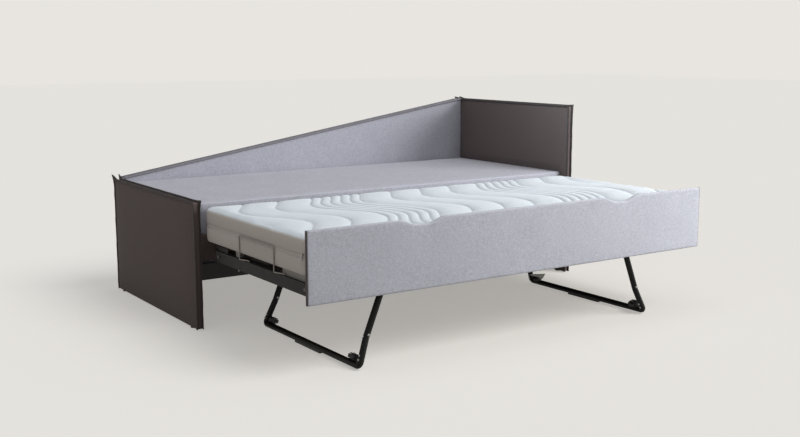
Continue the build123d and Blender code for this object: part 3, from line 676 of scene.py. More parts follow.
DULLED_STEEL = CoatFinish(
    "dulled_steel", linear(84, 81, 78), 0.5, metal=0.8, fineness=800.0, depth=0.0001)
PLATED_STEEL = CoatFinish(
    "zinc_plated_steel", linear(150, 149, 146), 0.42, metal=1.0, fineness=800.0, depth=0.0001)


# Mesh helpers


MERGED = 0.00001


def add_object(name: str, data: bpy.types.ID) -> bpy.types.Object:
    """Make an object of a mesh, a lamp or a camera, and put it in the scene.

    Args:
        name: The object's name.
        data: The mesh, lamp or camera.

    Returns:
        The new object.
    """
    added = bpy.data.objects.new(name, data)
    bpy.context.scene.collection.objects.link(added)
    return added


def mesh_object(
    name: str, points: Sequence[Sequence[float]], faces: Sequence[Face], smooth: bool = True,
) -> bpy.types.Object:
    """Make a mesh object whose faces point outwards.

    Args:
        name: The piece's name.
        points: The vertices, in metres.
        faces: The faces, as vertex numbers.
        smooth: Whether the faces are shaded smooth.

    Returns:
        The new object, at the origin.
    """
    mesh = bpy.data.meshes.new(name)
    mesh.from_pydata([tuple(p) for p in points], [], [tuple(f) for f in faces])
    work = bmesh.new()
    work.from_mesh(mesh)
    bmesh.ops.remove_doubles(work, verts=work.verts, dist=MERGED)
    bmesh.ops.recalc_face_normals(work, faces=work.faces)
    work.to_mesh(mesh)
    work.free()
    mesh.polygons.foreach_set("use_smooth", [smooth] * len(mesh.polygons))
    return add_object(name, mesh)


def bake(piece: bpy.types.Object) -> bpy.types.Object:
    """Turn a piece's modifiers into its mesh.

    Args:
        piece: The piece.

    Returns:
        The same piece, with no modifier left.
    """
    bpy.context.view_layer.update()
    shape = piece.evaluated_get(bpy.context.evaluated_depsgraph_get())
    mesh = bpy.data.meshes.new_from_object(shape)
    old = piece.data
    piece.modifiers.clear()
    piece.data = mesh
    bpy.data.meshes.remove(old)
    mesh.name = piece.name
    return piece


def grow(
    name: str, points: Sequence[Sequence[float]], edges: Sequence[Face],
    tree: bpy.types.NodeTree, values: dict[str, object],
) -> bpy.types.Object:
    """Let a geometry tree grow a piece out of points and edges.

    Args:
        name: The piece's name.
        points: The points.
        edges: The edges, as point numbers.
        tree: The geometry tree.
        values: The values of its named inputs.

    Returns:
        The grown piece, with no modifier left.
    """
    mesh = bpy.data.meshes.new(name)
    mesh.from_pydata(points, edges, [])
    piece = add_object(name, mesh)
    modifier = piece.modifiers.new(tree.name, "NODES")
    modifier.node_group = tree
    for item in tree.interface.items_tree:
        if item.in_out == "INPUT" and item.name in values:
            modifier[item.identifier] = values[item.name]
    return bake(piece)


def join(name: str, pieces: Sequence[bpy.types.Object]) -> bpy.types.Object:
    """Join pieces into one object, which keeps each piece's material.

    Args:
        name: The joined piece's name.
        pieces: The pieces.

    Returns:
        The joined piece.
    """
    for other in bpy.context.selected_objects:
        other.select_set(False)
    for piece in pieces:
        piece.select_set(True)
    bpy.context.view_layer.objects.active = pieces[0]
    bpy.ops.object.join()
    joined = bpy.context.view_layer.objects.active
    joined.name = name
    joined.data.name = name
    joined.select_set(False)
    return joined


def finish_piece(
    piece: bpy.types.Object, body: str, finish: Optional[Finish] = None,
    nodes: Sequence[str] = (),
) -> bpy.types.Object:
    """Dress a piece, attach it to the body it rides on and hide the CAD nodes it stands for.

    Args:
        piece: The piece.
        body: The CAD body that it moves with.
        finish: Its finish, unless its materials are set already.
        nodes: The CAD nodes that it stands for.

    Returns:
        The same piece.
    """
    if finish is not None:
        piece.data.materials.clear()
        piece.data.materials.append(finish.build())
    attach(piece, body)
    if nodes:
        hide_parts(*nodes)
    log.info("%s: %d faces on %s", piece.name, len(piece.data.polygons), body)
    return piece


def steps(start: float, end: float, size: float) -> list[float]:
    """Divide a length into even steps.

    Args:
        start: Where it starts.
        end: Where it ends.
        size: About how long a step is.

    Returns:
        The places, both ends included.
    """
    count = max(1, round(abs(end - start) / size))
    return [start + (end - start) * i / count for i in range(count + 1)]


def resampled(corners: Sequence[Point], size: float) -> list[Vector]:
    """Walk along corners in short steps.

    Args:
        corners: The corners.
        size: About how long a step is.

    Returns:
        The points, every corner included.
    """
    points = [Vector(corners[0])]
    for start, end in zip(corners, corners[1:]):
        first, last = Vector(start), Vector(end)
        count = max(1, round((last - first).length / size))
        points.extend(first.lerp(last, i / count) for i in range(1, count + 1))
    return points


def eased(share: float) -> float:
    """Return a share held between 0 and 1, with a soft start and end."""
    held = max(0.0, min(1.0, share))
    return held * held * (3 - 2 * held)


def round_drop(inside: float, radius: float) -> float:
    """Return how far a rounded edge falls at a distance inside its border.

    Args:
        inside: The distance inside the border.
        radius: The edge's radius.

    Returns:
        The drop, which is 0 past the radius.
    """
    if inside >= radius:
        return 0.0
    return radius - math.sqrt(max(0.0, radius ** 2 - (radius - inside) ** 2))


def grid_faces(wide: int, high: int) -> list[Face]:
    """List the faces of a grid of points that lie row after row.

    Args:
        wide: How many points a row has.
        high: How many rows there are.

    Returns:
        The faces, as point numbers.
    """
    return [
        (r * wide + c, r * wide + c + 1, (r + 1) * wide + c + 1, (r + 1) * wide + c)
        for r in range(high - 1) for c in range(wide - 1)
    ]


def grid_rim(wide: int, high: int) -> list[int]:
    """List the points on a grid's rim, once round.

    Args:
        wide: How many points a row has.
        high: How many rows there are.

    Returns:
        The point numbers.
    """
    rim = list(range(wide))
    rim += [r * wide + wide - 1 for r in range(1, high)]
    rim += [(high - 1) * wide + c for c in range(wide - 2, -1, -1)]
    rim += [r * wide for r in range(high - 2, 0, -1)]
    return rim


def band_faces(ring: Sequence[int], other: Sequence[int]) -> list[Face]:
    """List the faces between two rings of as many points."""
    ahead = [*range(1, len(ring)), 0]
    return [(ring[j], ring[i], other[i], other[j]) for i, j in enumerate(ahead)]


def tube_faces(rings: int, wide: int) -> list[Face]:
    """List the faces of a tube of even rings, with a cap at each end.

    Args:
        rings: How many rings there are.
        wide: How many points a ring has.

    Returns:
        The faces, as point numbers.
    """
    ahead = [*range(1, wide), 0]
    faces: list[Face] = [
        (r * wide + i, r * wide + j, (r + 1) * wide + j, (r + 1) * wide + i)
        for r in range(rings - 1) for i, j in enumerate(ahead)
    ]
    total = rings * wide
    return [*faces, tuple(range(wide)), tuple(range(total - 1, total - wide - 1, -1))]


@dataclass(frozen=True)
class Ripple:
    """Two faint waves that cross, so that cloth isn't quite flat.

    Each wave has its height, how often it repeats along and across, and where it starts.
    """

    first: tuple[float, float, float, float]
    second: tuple[float, float, float, float]

    def at(self, along: float, across: float = 0.0) -> float:
        """Return the cloth's height at a place.

        Args:
            along: The place's first coordinate.
            across: Its second one.

        Returns:
            The height.
        """
        return sum(
            height * math.sin(along * a + across * b + start)
            for height, a, b, start in (self.first, self.second))


@dataclass(frozen=True)
class Swell:
    """A cloth simulation: a cover held along its seams swells between them, as over foam."""

    pressure: float = 3.0
    frames: int = 14
    most: float = 0.004
    bending: float = 1.5
    quality: int = 4
    tension: float = 25.0
    shear: float = 12.0

    def run(self, piece: bpy.types.Object, held: Sequence[int]) -> bpy.types.Object:
        """Swell a piece in place.

        Args:
            piece: The closed piece.
            held: The vertices that its seams hold still.

        Returns:
            The same piece, swollen by no more than the most that is allowed.
        """
        rest = [v.co.copy() for v in piece.data.vertices]
        group = piece.vertex_groups.new(name="seams")
        group.add(list(held), 1.0, "REPLACE")
        cloth = piece.modifiers.new("cloth", "CLOTH")
        settings = cloth.settings
        settings.quality = self.quality
        settings.use_pressure = True
        settings.uniform_pressure_force = self.pressure
        settings.vertex_group_mass = group.name
        settings.tension_stiffness = settings.compression_stiffness = self.tension
        settings.shear_stiffness = self.shear
        settings.bending_stiffness = self.bending
        settings.effector_weights.gravity = 0
        cloth.collision_settings.use_collision = False
        cloth.point_cache.frame_start = 1
        cloth.point_cache.frame_end = self.frames
        scene = bpy.context.scene
        for number in range(1, self.frames + 1):
            scene.frame_set(number)
        bake(piece)
        scene.frame_set(1)
        piece.vertex_groups.clear()
        for vertex, start in zip(piece.data.vertices, rest):
            moved = vertex.co - start
            if moved.length > 0:
                reach = self.most * math.tanh(moved.length / self.most)
                vertex.co = start + moved * (reach / moved.length)
        return piece


@dataclass(frozen=True)
class SoftBlock:
    """A block with rounded edges, made of an even mesh that is finer along the edges."""

    low: Point
    high: Point
    radius: float
    cell: float = 0.016
    turns: int = 3

    def lines(self, axis: int) -> list[float]:
        """Return where the mesh lines cross one axis.

        Args:
            axis: The axis.

        Returns:
            The places, from the low face to the high one.
        """
        low, high = self.low[axis], self.high[axis]
        near = [
            self.radius * (1 - math.tan(math.radians(45 * k / self.turns)))
            for k in range(self.turns, 0, -1)
        ]
        middle = steps(low + self.radius, high - self.radius, self.cell)
        return [*(low + t for t in near), *middle, *(high - t for t in reversed(near))]

    def rounded(self, place: Vector) -> Vector:
        """Return a corner of the mesh, rounded off towards the block's inside.

        Args:
            place: Where the corner of a sharp block would be.

        Returns:
            Its rounded place.
        """
        inner = Vector([
            max(low + self.radius, min(high - self.radius, part))
            for low, high, part in zip(self.low, self.high, place)
        ])
        return inner + (place - inner).normalized() * self.radius

    def build(self, name: str) -> bpy.types.Object:
        """Build the block.

        Args:
            name: Its name.

        Returns:
            The block as a closed mesh.
        """
        lines = [self.lines(axis) for axis in range(3)]
        last = [len(line) - 1 for line in lines]
        numbers: dict[Face, int] = {}
        points: list[Vector] = []

        def corner(axis: int, end: int, i: int, j: int) -> int:
            """Return the number of a mesh corner on the face at an axis's end.

            Args:
                axis: The face's axis.
                end: The face's line on that axis.
                i: The line on the next axis.
                j: The line on the axis after it.

            Returns:
                The corner's number, new or found.
            """
            turned = [end, i, j]
            key = tuple(turned[(other - axis) % 3] for other in range(3))
            if key not in numbers:
                numbers[key] = len(points)
                points.append(self.rounded(Vector([lines[a][key[a]] for a in range(3)])))
            return numbers[key]

        faces = [
            tuple(corner(axis, end, i + di, j + dj) for di, dj in ((0, 0), (1, 0), (1, 1), (0, 1)))
            for axis in range(3) for end in (0, last[axis])
            for i in range(last[(axis + 1) % 3]) for j in range(last[(axis + 2) % 3])
        ]
        return mesh_object(name, points, faces)


def within(
    piece: bpy.types.Object, axis: int, low: float, high: float, border: float,
) -> list[int]:
    """Find the vertices that a seam holds: all but those well inside the two large faces.

    Args:
        piece: The piece.
        axis: The axis across the piece's two large faces.
        low: The low face's place.
        high: The high face's place.
        border: How wide the held border of the large faces is.

    Returns:
        The vertices' numbers.
    """
    close = 0.0004
    others = [a for a in range(3) if a != axis]
    spans = {}
    for other in others:
        places = [v.co[other] for v in piece.data.vertices]
        spans[other] = min(places), max(places)
    held = []
    for vertex in piece.data.vertices:
        on_face = min(abs(vertex.co[axis] - low), abs(vertex.co[axis] - high)) < close
        inside = min(
            min(vertex.co[a] - spans[a][0], spans[a][1] - vertex.co[a]) for a in others)
        if not on_face or inside < border:
            held.append(vertex.index)
    return held


# Stitches, made along seams with geometry nodes


@dataclass
class StitchMaker:
    """Sews a row of stitches along each of a set of seam lines."""

    radius: float = 0.0006
    length: float = 0.0055
    pitch: float = 0.008
    tree: Optional[bpy.types.NodeTree] = None

    def build_tree(self) -> bpy.types.NodeTree:
        """Build the stitch tree once.

        Returns:
            The geometry node group.
        """
        if self.tree is not None:
            return self.tree
        tree = self.tree = bpy.data.node_groups.new("stitch_row", "GeometryNodeTree")
        given, result = open_tree(tree, {
            "Seam": "Geometry", "Pitch": "Float", "Length": "Float", "Radius": "Float",
            "Thread": "Material",
        }, {"Stitches": "Geometry"})
        line = add_node(tree, "GeometryNodeMeshToCurve", {"Mesh": given.outputs["Seam"]})
        spaced = add_node(tree, "GeometryNodeResampleCurve", mode="LENGTH")
        feed(tree, spaced, {"Curve": line.outputs["Curve"], "Length": given.outputs["Pitch"]})
        tangent = add_node(tree, "GeometryNodeInputTangent")
        aligned = add_node(
            tree, "FunctionNodeAlignEulerToVector", {"Vector": tangent.outputs["Tangent"]},
            axis="X")
        half = math_node(tree, "MULTIPLY", given.outputs["Length"], 0.5)
        radius = given.outputs["Radius"]
        place_balls(tree, result, (6, 4), (half, radius, radius), given.outputs["Thread"], {
            "Points": spaced.outputs["Curve"], "Rotation": aligned.outputs["Rotation"]})
        return tree

    def sew(
        self, name: str, seams: Sequence[Sequence[Point]], thread: Finish, body: str, slot: str,
    ) -> bpy.types.Object:
        """Sew stitches along seams, all on one body.

        Args:
            name: The piece's name.
            seams: Each seam's points.
            thread: The thread's finish.
            body: The body that carries the stitches.
            slot: The record's material slot, which is not used.

        Returns:
            The finished piece.
        """
        points: list[Point] = []
        edges: list[Face] = []
        for seam in seams:
            first = len(points)
            points.extend(seam)
            edges.extend((first + i, first + i + 1) for i in range(len(seam) - 1))
        piece = grow(name, points, edges, self.build_tree(), {
            "Pitch": self.pitch, "Length": self.length, "Radius": self.radius,
            "Thread": thread.build(),
        })
        return finish_piece(piece, body)


stitches = StitchMaker()


# Padded pieces


@dataclass(frozen=True)
class Flange:
    """A sewn edge that stands up from a seam, with small waves and pointed ears."""

    thickness: float = 0.0032
    sway: Ripple = Ripple((0.0007, 46, 1, 0), (0.00042, 103, 2, 0))

    def profile(self) -> list[tuple[float, float]]:
        """Return the edge's outline: how far up, as a share, and how far across.

        Returns:
            The outline's points from one side over the rim to the other.
        """
        half = self.thickness / 2
        side = [(-0.25, half), (0.3, half), (0.75, half * 0.85), (0.95, half * 0.5)]
        return [*((up, -across) for up, across in side), (1.0, 0.0), *reversed(side)]

    def build(
        self, name: str, route: Sequence[Point], outward: Sequence[Vector], sideways: Vector,
        tall: Sequence[float], phase: float, lean: Optional[Sequence[float]] = None,
    ) -> bpy.types.Object:
        """Build the edge along a route.

        Args:
            name: The piece's name.
            route: The foot of the edge, point by point.
            outward: The direction in which the edge stands at each point.
            sideways: The direction across the edge.
            tall: How far the edge stands at each point.
            phase: Where its waves start.
            lean: How far its rim leans sideways at each point.

        Returns:
            The edge as a closed strip.
        """
        profile = self.profile()
        points: list[Vector] = []
        run = 0.0
        for i, foot in enumerate(route):
            if i:
                run += (Vector(foot) - Vector(route[i - 1])).length
            sway = self.sway.at(run, phase) + (lean[i] if lean else 0.0)
            for up, across in profile:
                shift = across + sway * max(0.0, up) ** 2
                points.append(Vector(foot) + outward[i] * (tall[i] * up) + sideways * shift)
        return mesh_object(name, points, tube_faces(len(route), len(profile)))


@dataclass
class Arm:
    """One arm: a padded board with a standing sewn edge round each of its two faces."""

    side: int
    height: float
    ear_rise: float
    half_length: float = 1.050
    thickness: float = 0.030
    front: float = -0.042
    back: float = 0.918
    foot: float = 0.004
    stand: float = 0.010
    inset: float = 0.0025
    edge_radius: float = 0.004
    held_border: float = 0.007
    gap: float = 0.0002
    seat_top: float = 0.545
    seat_front: float = -0.005
    back_face: float = 0.855
    ear_run: float = 0.046
    front_rise: float = 0.003
    corner_rise: float = 0.004
    rear_share: float = 0.4
    ear_lean: float = 0.005
    edge_step: float = 0.008
    stitch_out: float = 0.0006
    stitch_share: float = 0.35
    phase: float = 0.7
    phase_step: float = 1.9

    @property
    def name(self) -> str:
        """The arm's side as a word."""
        return "left" if self.side < 0 else "right"

    def faces_x(self) -> tuple[float, float]:
        """Return where the outer and the inner face lie."""
        return self.side * self.half_length, self.side * (self.half_length - self.thickness)

    def build_cover(self) -> bpy.types.Object:
        """Build the padded cover, which is flat where the seat and the back meet it.

        Returns:
            The finished piece.
        """
        outer, inner = self.faces_x()
        low_x, high_x = min(outer, inner) + self.inset, max(outer, inner) - self.inset
        block = SoftBlock(
            (low_x, self.front + self.stand, self.foot),
            (high_x, self.back - self.stand, self.height - self.stand), self.edge_radius)
        piece = block.build(f"{self.name}_arm_padding")
        held = within(piece, 0, low_x, high_x, self.held_border)
        Swell(pressure=3.2, most=0.0075).run(piece, held)
        limit = abs(inner) + self.gap
        for vertex in piece.data.vertices:
            point = vertex.co
            beside_seat = point.z < self.seat_top and point.y > self.seat_front
            if (beside_seat or point.y > self.back_face) and abs(point.x) < limit:
                point.x = self.side * limit
        return finish_piece(
            piece, "base", DARK_CLOTH, [f"{self.name}_arm_cover"])

    def edge_route(
        self, foot_x: float,
    ) -> tuple[list[Vector], list[Vector], list[float], list[float]]:
        """Trace one standing edge from the front foot over the top to the back foot.

        Args:
            foot_x: Where the edge's middle lies across the arm.

        Returns:
            The feet of the edge, the directions in which it stands, how far it stands, and how far
            it leans away from the arm's middle.
        """
        front, back = self.front + self.stand, self.back - self.stand
        top = self.height - self.stand
        points = resampled([
            (foot_x, front, self.foot), (foot_x, front, top), (foot_x, back, top),
            (foot_x, back, self.foot),
        ], self.edge_step)
        on_line = 0.001
        outward, tall, lean = [], [], []
        for point in points:
            ahead, behind, under = point.y - front, back - point.y, top - point.z
            to_corner = max(0.0, 1 - (min(ahead, behind) + under) / self.ear_run)
            lean.append(self.ear_lean * to_corner ** 2)
            if ahead < on_line and under > on_line:
                near = max(0.0, 1 - under / (self.ear_run / 2))
                direction = Vector((0, -1, near))
                rise = near ** 2 * self.corner_rise
            elif behind < on_line and under > on_line:
                near = max(0.0, 1 - under / self.ear_run)
                direction = Vector((0, 1, near))
                rise = near ** 2 * self.ear_rise * self.rear_share
            else:
                to_front = max(0.0, 1 - ahead / (self.ear_run / 2)) ** 2
                to_back = max(0.0, 1 - behind / self.ear_run) ** 2
                direction = Vector((0, to_back - to_front, 1))
                rise = to_front * (self.front_rise + self.corner_rise)
                rise += to_back * (self.ear_rise + self.corner_rise)
            outward.append(direction.normalized())
            tall.append(self.stand + rise)
        return points, outward, tall, lean

    def build_edges(self) -> bpy.types.Object:
        """Build the two standing edges as one piece.

        Returns:
            The finished piece.
        """
        flange = Flange()
        edges = []
        for number, (face, inward) in enumerate(zip(self.faces_x(), (-1, 1))):
            foot_x = face + self.side * inward * (flange.thickness / 2 + self.gap)
            points, outward, tall, lean = self.edge_route(foot_x)
            away = Vector((-self.side * inward, 0, 0))
            phase = self.phase + self.phase_step * number + self.side
            edges.append(flange.build(
                f"{self.name}_edge_{number}", points, outward, away, tall, phase, lean))
        piece = join(f"{self.name}_arm_sewn_edges", edges)
        return finish_piece(piece, "base", WELT_CLOTH, [f"{self.name}_arm_welts"])

    def sew(self) -> bpy.types.Object:
        """Sew the stitches that run through both standing edges.

        Returns:
            The finished piece.
        """
        seams = []
        for face, outside in zip(self.faces_x(), (1, -1)):
            feet, outward, tall, _ = self.edge_route(face + outside * self.side * self.stitch_out)
            seams.append([
                p + o * (t * self.stitch_share) for p, o, t in zip(feet, outward, tall)])
        return stitches.sew(f"{self.name}_arm_stitches", seams, THREAD, "base", "welt")

    def build(self) -> None:
        """Build the whole arm."""
        self.build_cover()
        self.build_edges()
        self.sew()


@dataclass
class Back:
    """The padded back, whose top slopes from the high arm down to the low arm."""

    end: float = 1.0197
    face: float = 0.863
    rear: float = 0.903
    foot: float = 0.004
    low_top: float = 0.555
    high_top: float = 0.879
    stand: float = 0.010
    inset: float = 0.003
    edge_radius: float = 0.004
    cell: float = 0.018
    held_border: float = 0.007
    gap: float = 0.0002
    behind_seat: float = 0.540
    edge_inset: float = 0.0018
    edge_gap: float = 0.001
    edge_step: float = 0.010
    stitch_rise: float = 0.0035
    stitch_out: float = 0.0004
    phase: float = 0.4
    phase_step: float = 2.1

    def top_at(self, x: float) -> float:
        """Return the height of the sloping top at a place along the bed."""
        share = (x + self.end) / (2 * self.end)
        return self.low_top + (self.high_top - self.low_top) * share

    def build_cover(self) -> bpy.types.Object:
        """Build the padded cover.

        Returns:
            The finished piece.
        """
        low_y, high_y = self.face + self.inset, self.rear - self.inset
        top = self.high_top - self.stand
        block = SoftBlock(
            (-self.end, low_y, self.foot), (self.end, high_y, top), self.edge_radius, self.cell)
        piece = block.build("back_padding")
        held = within(piece, 1, low_y, high_y, self.held_border)
        for vertex in piece.data.vertices:
            share = (vertex.co.z - self.foot) / (top - self.foot)
            slope_top = self.top_at(vertex.co.x) - self.stand
            vertex.co.z = self.foot + (slope_top - self.foot) * share
        Swell(pressure=3.2, most=0.0045).run(piece, held)
        for vertex in piece.data.vertices:
            if vertex.co.z < self.behind_seat:
                vertex.co.y = max(vertex.co.y, self.face + self.gap)
        return finish_piece(piece, "base", GREY_CLOTH, ["back_cover"])

    def edge_feet(self, y: float, rise: float = 0.0) -> list[Vector]:
        """Return the feet of a standing edge along the sloping top.

        Args:
            y: Where the edge lies.
            rise: How far above the edge's feet the line is.

        Returns:
            The points from the low end to the high end.
        """
        ends = (self.edge_gap - self.end, self.end - self.edge_gap)
        feet = resampled([(x, y, self.top_at(x) - self.stand) for x in ends], self.edge_step)
        return [foot + Vector((0, 0, rise)) for foot in feet]

    def build_edges(self) -> bpy.types.Object:
        """Build the two standing edges along the top.

        Returns:
            The finished piece.
        """
        flange = Flange()
        edges = []
        for number, y in enumerate((self.face + self.edge_inset, self.rear - self.edge_inset)):
            feet = self.edge_feet(y)
            phase = self.phase + self.phase_step * number
            edges.append(flange.build(
                f"back_edge_{number}", feet, [Vector((0, 0, 1))] * len(feet),
                Vector((0, 1, 0)), [self.stand] * len(feet), phase))
        piece = join("back_sewn_edges", edges)
        return finish_piece(piece, "base", GREY_WELT, ["back_welts"])

    def sew(self) -> bpy.types.Object:
        """Sew the stitches along the top edges.

        Returns:
            The finished piece.
        """
        seams = [
            self.edge_feet(y, self.stitch_rise)
            for y in (self.face - self.stitch_out, self.rear + self.stitch_out)
        ]
        return stitches.sew("back_stitches", seams, GREY_THREAD, "base", "welt")

    def build(self) -> None:
        """Build the whole back."""
        self.build_cover()
        self.build_edges()
        self.sew()


@dataclass
class Seat:
    """The fixed seat's cushion and the cloth facing of its front board."""

    end: float = 1.0197
    front: float = 0.001
    back: float = 0.8627
    bottom: float = 0.394
    top: float = 0.534
    inset: float = 0.0035
    edge_radius: float = 0.009
    cell: float = 0.018
    held_border: float = 0.004
    corner: float = 0.024
    facing_bottom: float = 0.2877
    facing_back: float = 0.031
    facing_thickness: float = 0.0055
    facing_gap: float = 0.0006
    facing_turn: float = 0.004
    facing_soft: float = 0.0012
    facing_step: float = 0.02
    sway: Ripple = Ripple((0.0004, 17, 0, 0), (0.0003, 41, 0, 1))

    def build_cushion(self) -> bpy.types.Object:
        """Build the long cushion with simulated cloth.

        Returns:
            The finished piece.
        """
        low = (-self.end, self.front + self.inset, self.bottom)
        high = (self.end, self.back, self.top - self.inset)
        block = SoftBlock(low, high, self.edge_radius, self.cell, 4)
        piece = block.build("seat_cushion_cover")
        held = within(piece, 2, low[2], high[2], self.held_border)
        for vertex in piece.data.vertices:
            vertex.co = self.round_corner(vertex.co)
        Swell(pressure=3.0, most=0.0045).run(piece, held)
        for vertex in piece.data.vertices:
            point = vertex.co
            point.x = max(-self.end, min(self.end, point.x))
            point.y = min(self.back, point.y)
            point.z = max(self.bottom, point.z)
        return finish_piece(piece, "base", GREY_CLOTH, ["seat_cushion"])

    def round_corner(self, point: Vector) -> Vector:
        """Draw a point near a front corner in, so that the corner is round from above.

        Args:
            point: The point.

        Returns:
            Its place on the rounded cushion.
        """
        over_x = abs(point.x) - (self.end - self.corner)
        over_y = self.front + self.corner - point.y
        if over_x <= 0 or over_y <= 0:
            return point
        share = max(over_x, over_y) / math.hypot(over_x, over_y)
        x = math.copysign(self.end - self.corner + over_x * share, point.x)
        return Vector((x, self.front + self.corner - over_y * share, point.z))

    def build_facing(self) -> bpy.types.Object:
        """Build the thin padded facing of the front board, folded under the board.

        Returns:
            The finished piece.
        """
        front, back, thick = self.front, self.facing_back, self.facing_thickness
        low, high = self.facing_bottom, self.bottom - self.facing_gap
        soft, turn, small = self.facing_soft, self.facing_turn, self.facing_turn / 4
        profile = [
            (front + soft, high), (front, high - turn / 2), (front, low + turn),
            (front + soft, low + soft), (front + turn, low), (back - small, low),
            (back, low + small), (back, low + thick - small / 2), (front + thick, low + thick),
            (front + thick, high),
        ]
        columns = steps(-self.end, self.end, self.facing_step)
        points = []
        for x in columns:
            sway = self.sway.at(x) - self.sway.first[0]
            points += [(x, y + (sway if y < front + turn / 2 else 0), z) for y, z in profile]
        piece = mesh_object(
            "seat_front_facing", points, tube_faces(len(columns), len(profile)))
        # The facing wears the arms' dark cloth. It is partly the cloth's own dark tone and partly
        # painted shade, darkening the gap between arm, seat and mattress.
        return finish_piece(piece, "base", DARK_CLOTH, ["seat_front_pad"])

    def build(self) -> None:
        """Build the seat's soft pieces."""
        self.build_cushion()
        self.build_facing()


@dataclass
class FrontPanel:
    """The trundle's front panel: a sewn cover with two finger notches, and its end trims."""

    half_length: float = 1.0088
    face: float = -0.918
    back: float = -0.900
    bottom: float = 0.278
    top: float = 0.548
    gap: float = 0.0003
    corner: float = 0.006
    round_edge: float = 0.0065
    end_width: float = 0.0015
    crown: float = 0.0012
    crown_run: float = 0.03
    sway: Ripple = Ripple((0.0003, 9, 21, 0), (0.00025, 23, -13, 0))
    edge_steps: tuple[float, ...] = (0.0, 0.0008, 0.002, 0.0038, 0.0065)
    end_band: float = 0.016
    edge_band: float = 0.012
    middle_rows: int = 14
    column_step: float = 0.009
    notch_middle: float = 0.517
    notch_half: float = 0.1085
    notch_floor_half: float = 0.019
    notch_depth: float = 0.0228
    trim_inset: float = 0.0026
    trim_levels: tuple[tuple[float, float], ...] = (
        (1.009, 0.0), (1.0102, 0.0003), (1.0112, 0.0012), (1.012, 0.0032))
    seam_inset: float = 0.010
    seam_depth: float = 0.0011
    seam_end: float = 0.02

    def corner_drop(self, x: float) -> float:
        """Return how far the outline's rounded corner has fallen at a place along the panel."""
        ends = max(0.0, abs(x) - (self.half_length - self.corner))
        return self.corner - math.sqrt(max(0.0, self.corner ** 2 - ends ** 2))

    def top_at(self, x: float) -> float:
        """Return the panel's height at a place along it, lower in the notches.

        Args:
            x: The place along the panel.

        Returns:
            The height above the floor.
        """
        away = abs(abs(x) - self.notch_middle)
        share = eased((self.notch_half - away) / (self.notch_half - self.notch_floor_half))
        return self.top - self.notch_depth * share - self.corner_drop(x)

    def build_cover(self) -> bpy.types.Object:
        """Build the cover with soft edges and a slight crown.

        Returns:
            The finished piece.
        """
        inner = self.half_length - self.end_band
        columns = [
            *(d - self.half_length for d in self.edge_steps),
            *steps(-inner, inner, self.column_step),
            *(self.half_length - d for d in reversed(self.edge_steps)),
        ]
        shares = [number / self.middle_rows for number in range(self.middle_rows + 1)]
        rows = [
            *((0.0, d) for d in self.edge_steps),
            *((share, self.edge_band * (1 - 2 * share)) for share in shares),
            *((1.0, -d) for d in reversed(self.edge_steps)),
        ]

        def surface(x: float, row: tuple[float, float], y: float, inward: int) -> Point:
            """Return a point of a face, which stands back near its edges.

            Args:
                x: Its place along the panel.
                row: Its share of the height there, and its distance above that.
                y: Where the face is widest.
                inward: The direction from the face to the panel's middle.

            Returns:
                The point.
            """
            low, high = self.bottom + self.corner_drop(x), self.top_at(x)
            share, above = row
            z = low + (high - low) * share + above
            end = (self.half_length - abs(x)) * 2 + self.end_width
            near = min(z - low, high - z, end)
            depth = round_drop(near, self.round_edge)
            depth += self.crown * math.exp(-near / self.crown_run)
            depth += self.sway.at(x, z) * min(1.0, near / self.crown_run)
            return x, y + inward * depth, z

        points = [
            surface(x, row, y, inward)
            for y, inward in ((self.face + self.gap, 1), (self.back - self.gap, -1))
            for row in rows for x in columns
        ]
        wide, high = len(columns), len(rows)
        behind = wide * high
        front, rim = grid_faces(wide, high), grid_rim(wide, high)
        faces = [
            *front, *(tuple(behind + i for i in reversed(face)) for face in front),
            *band_faces(rim, [behind + i for i in rim]),
        ]
        piece = mesh_object("front_panel_cloth", points, faces)
        return finish_piece(
            piece, "trundle", PANEL_CLOTH, ["front_panel_cover"])

    def trim_outline(self) -> list[tuple[float, float]]:
        """Return the end trims' outline with its four rounded corners, as y and z.

        Returns:
            The outline's points, once round.
        """
        middle_y, half_y = (self.face + self.back) / 2, self.trim_half
        outline = []
        for corner_y, centre_z, start in (
            (1, self.top - self.corner, 0), (-1, self.top - self.corner, 90),
            (-1, self.bottom + self.corner, 180), (1, self.bottom + self.corner, 270),
        ):
            centre_y = middle_y + corner_y * (half_y - self.corner)
            for angle in range(start, start + 91, 15):
                turn = math.radians(angle)
                outline.append((
                    centre_y + self.corner * math.cos(turn),
                    centre_z + self.corner * math.sin(turn)))
        return outline

    @property
    def trim_half(self) -> float:
        """Half of the end trims' thickness."""
        return (self.back - self.face) / 2 - self.trim_inset

    def build_trims(self) -> bpy.types.Object:
        """Build the two dark end trims with rounded outlines.

        Returns:
            The finished piece.
        """
        outline = self.trim_outline()
        middle_y, middle_z = (self.face + self.back) / 2, (self.top + self.bottom) / 2
        trims = []
        for side in (-1, 1):
            points = [
                (side * x, middle_y + (y - middle_y) * (1 - inset / self.trim_half),
                 z + math.copysign(inset, middle_z - z))
                for x, inset in self.trim_levels for y, z in outline
            ]
            faces = tube_faces(len(self.trim_levels), len(outline))
            trims.append(mesh_object(f"trim_{side}", points, faces))
        piece = join("front_panel_rounded_trims", trims)
        return finish_piece(
            piece, "trundle", BROWN_TRIM, ["front_panel_end_trims"])

    def sew(self) -> bpy.types.Object:
        """Sew the seams along the top and the foot of the panel's rear face.

        Returns:
            The finished piece.
        """
        y, end = self.back - self.seam_depth, self.half_length - self.seam_end
        upper = [
            Vector((x, y, self.top_at(x) - self.seam_inset)) for x in steps(-end, end, 0.01)]
        lower = [
            Vector((x, y, self.bottom + self.seam_inset)) for x in steps(-end, end, 0.05)]
        return stitches.sew(
            "front_panel_stitches", [upper, lower], GREY_THREAD, "trundle", "woven_cover")

    def build(self) -> None:
        """Build the panel's pieces."""
        self.build_cover()
        self.build_trims()
        self.sew()


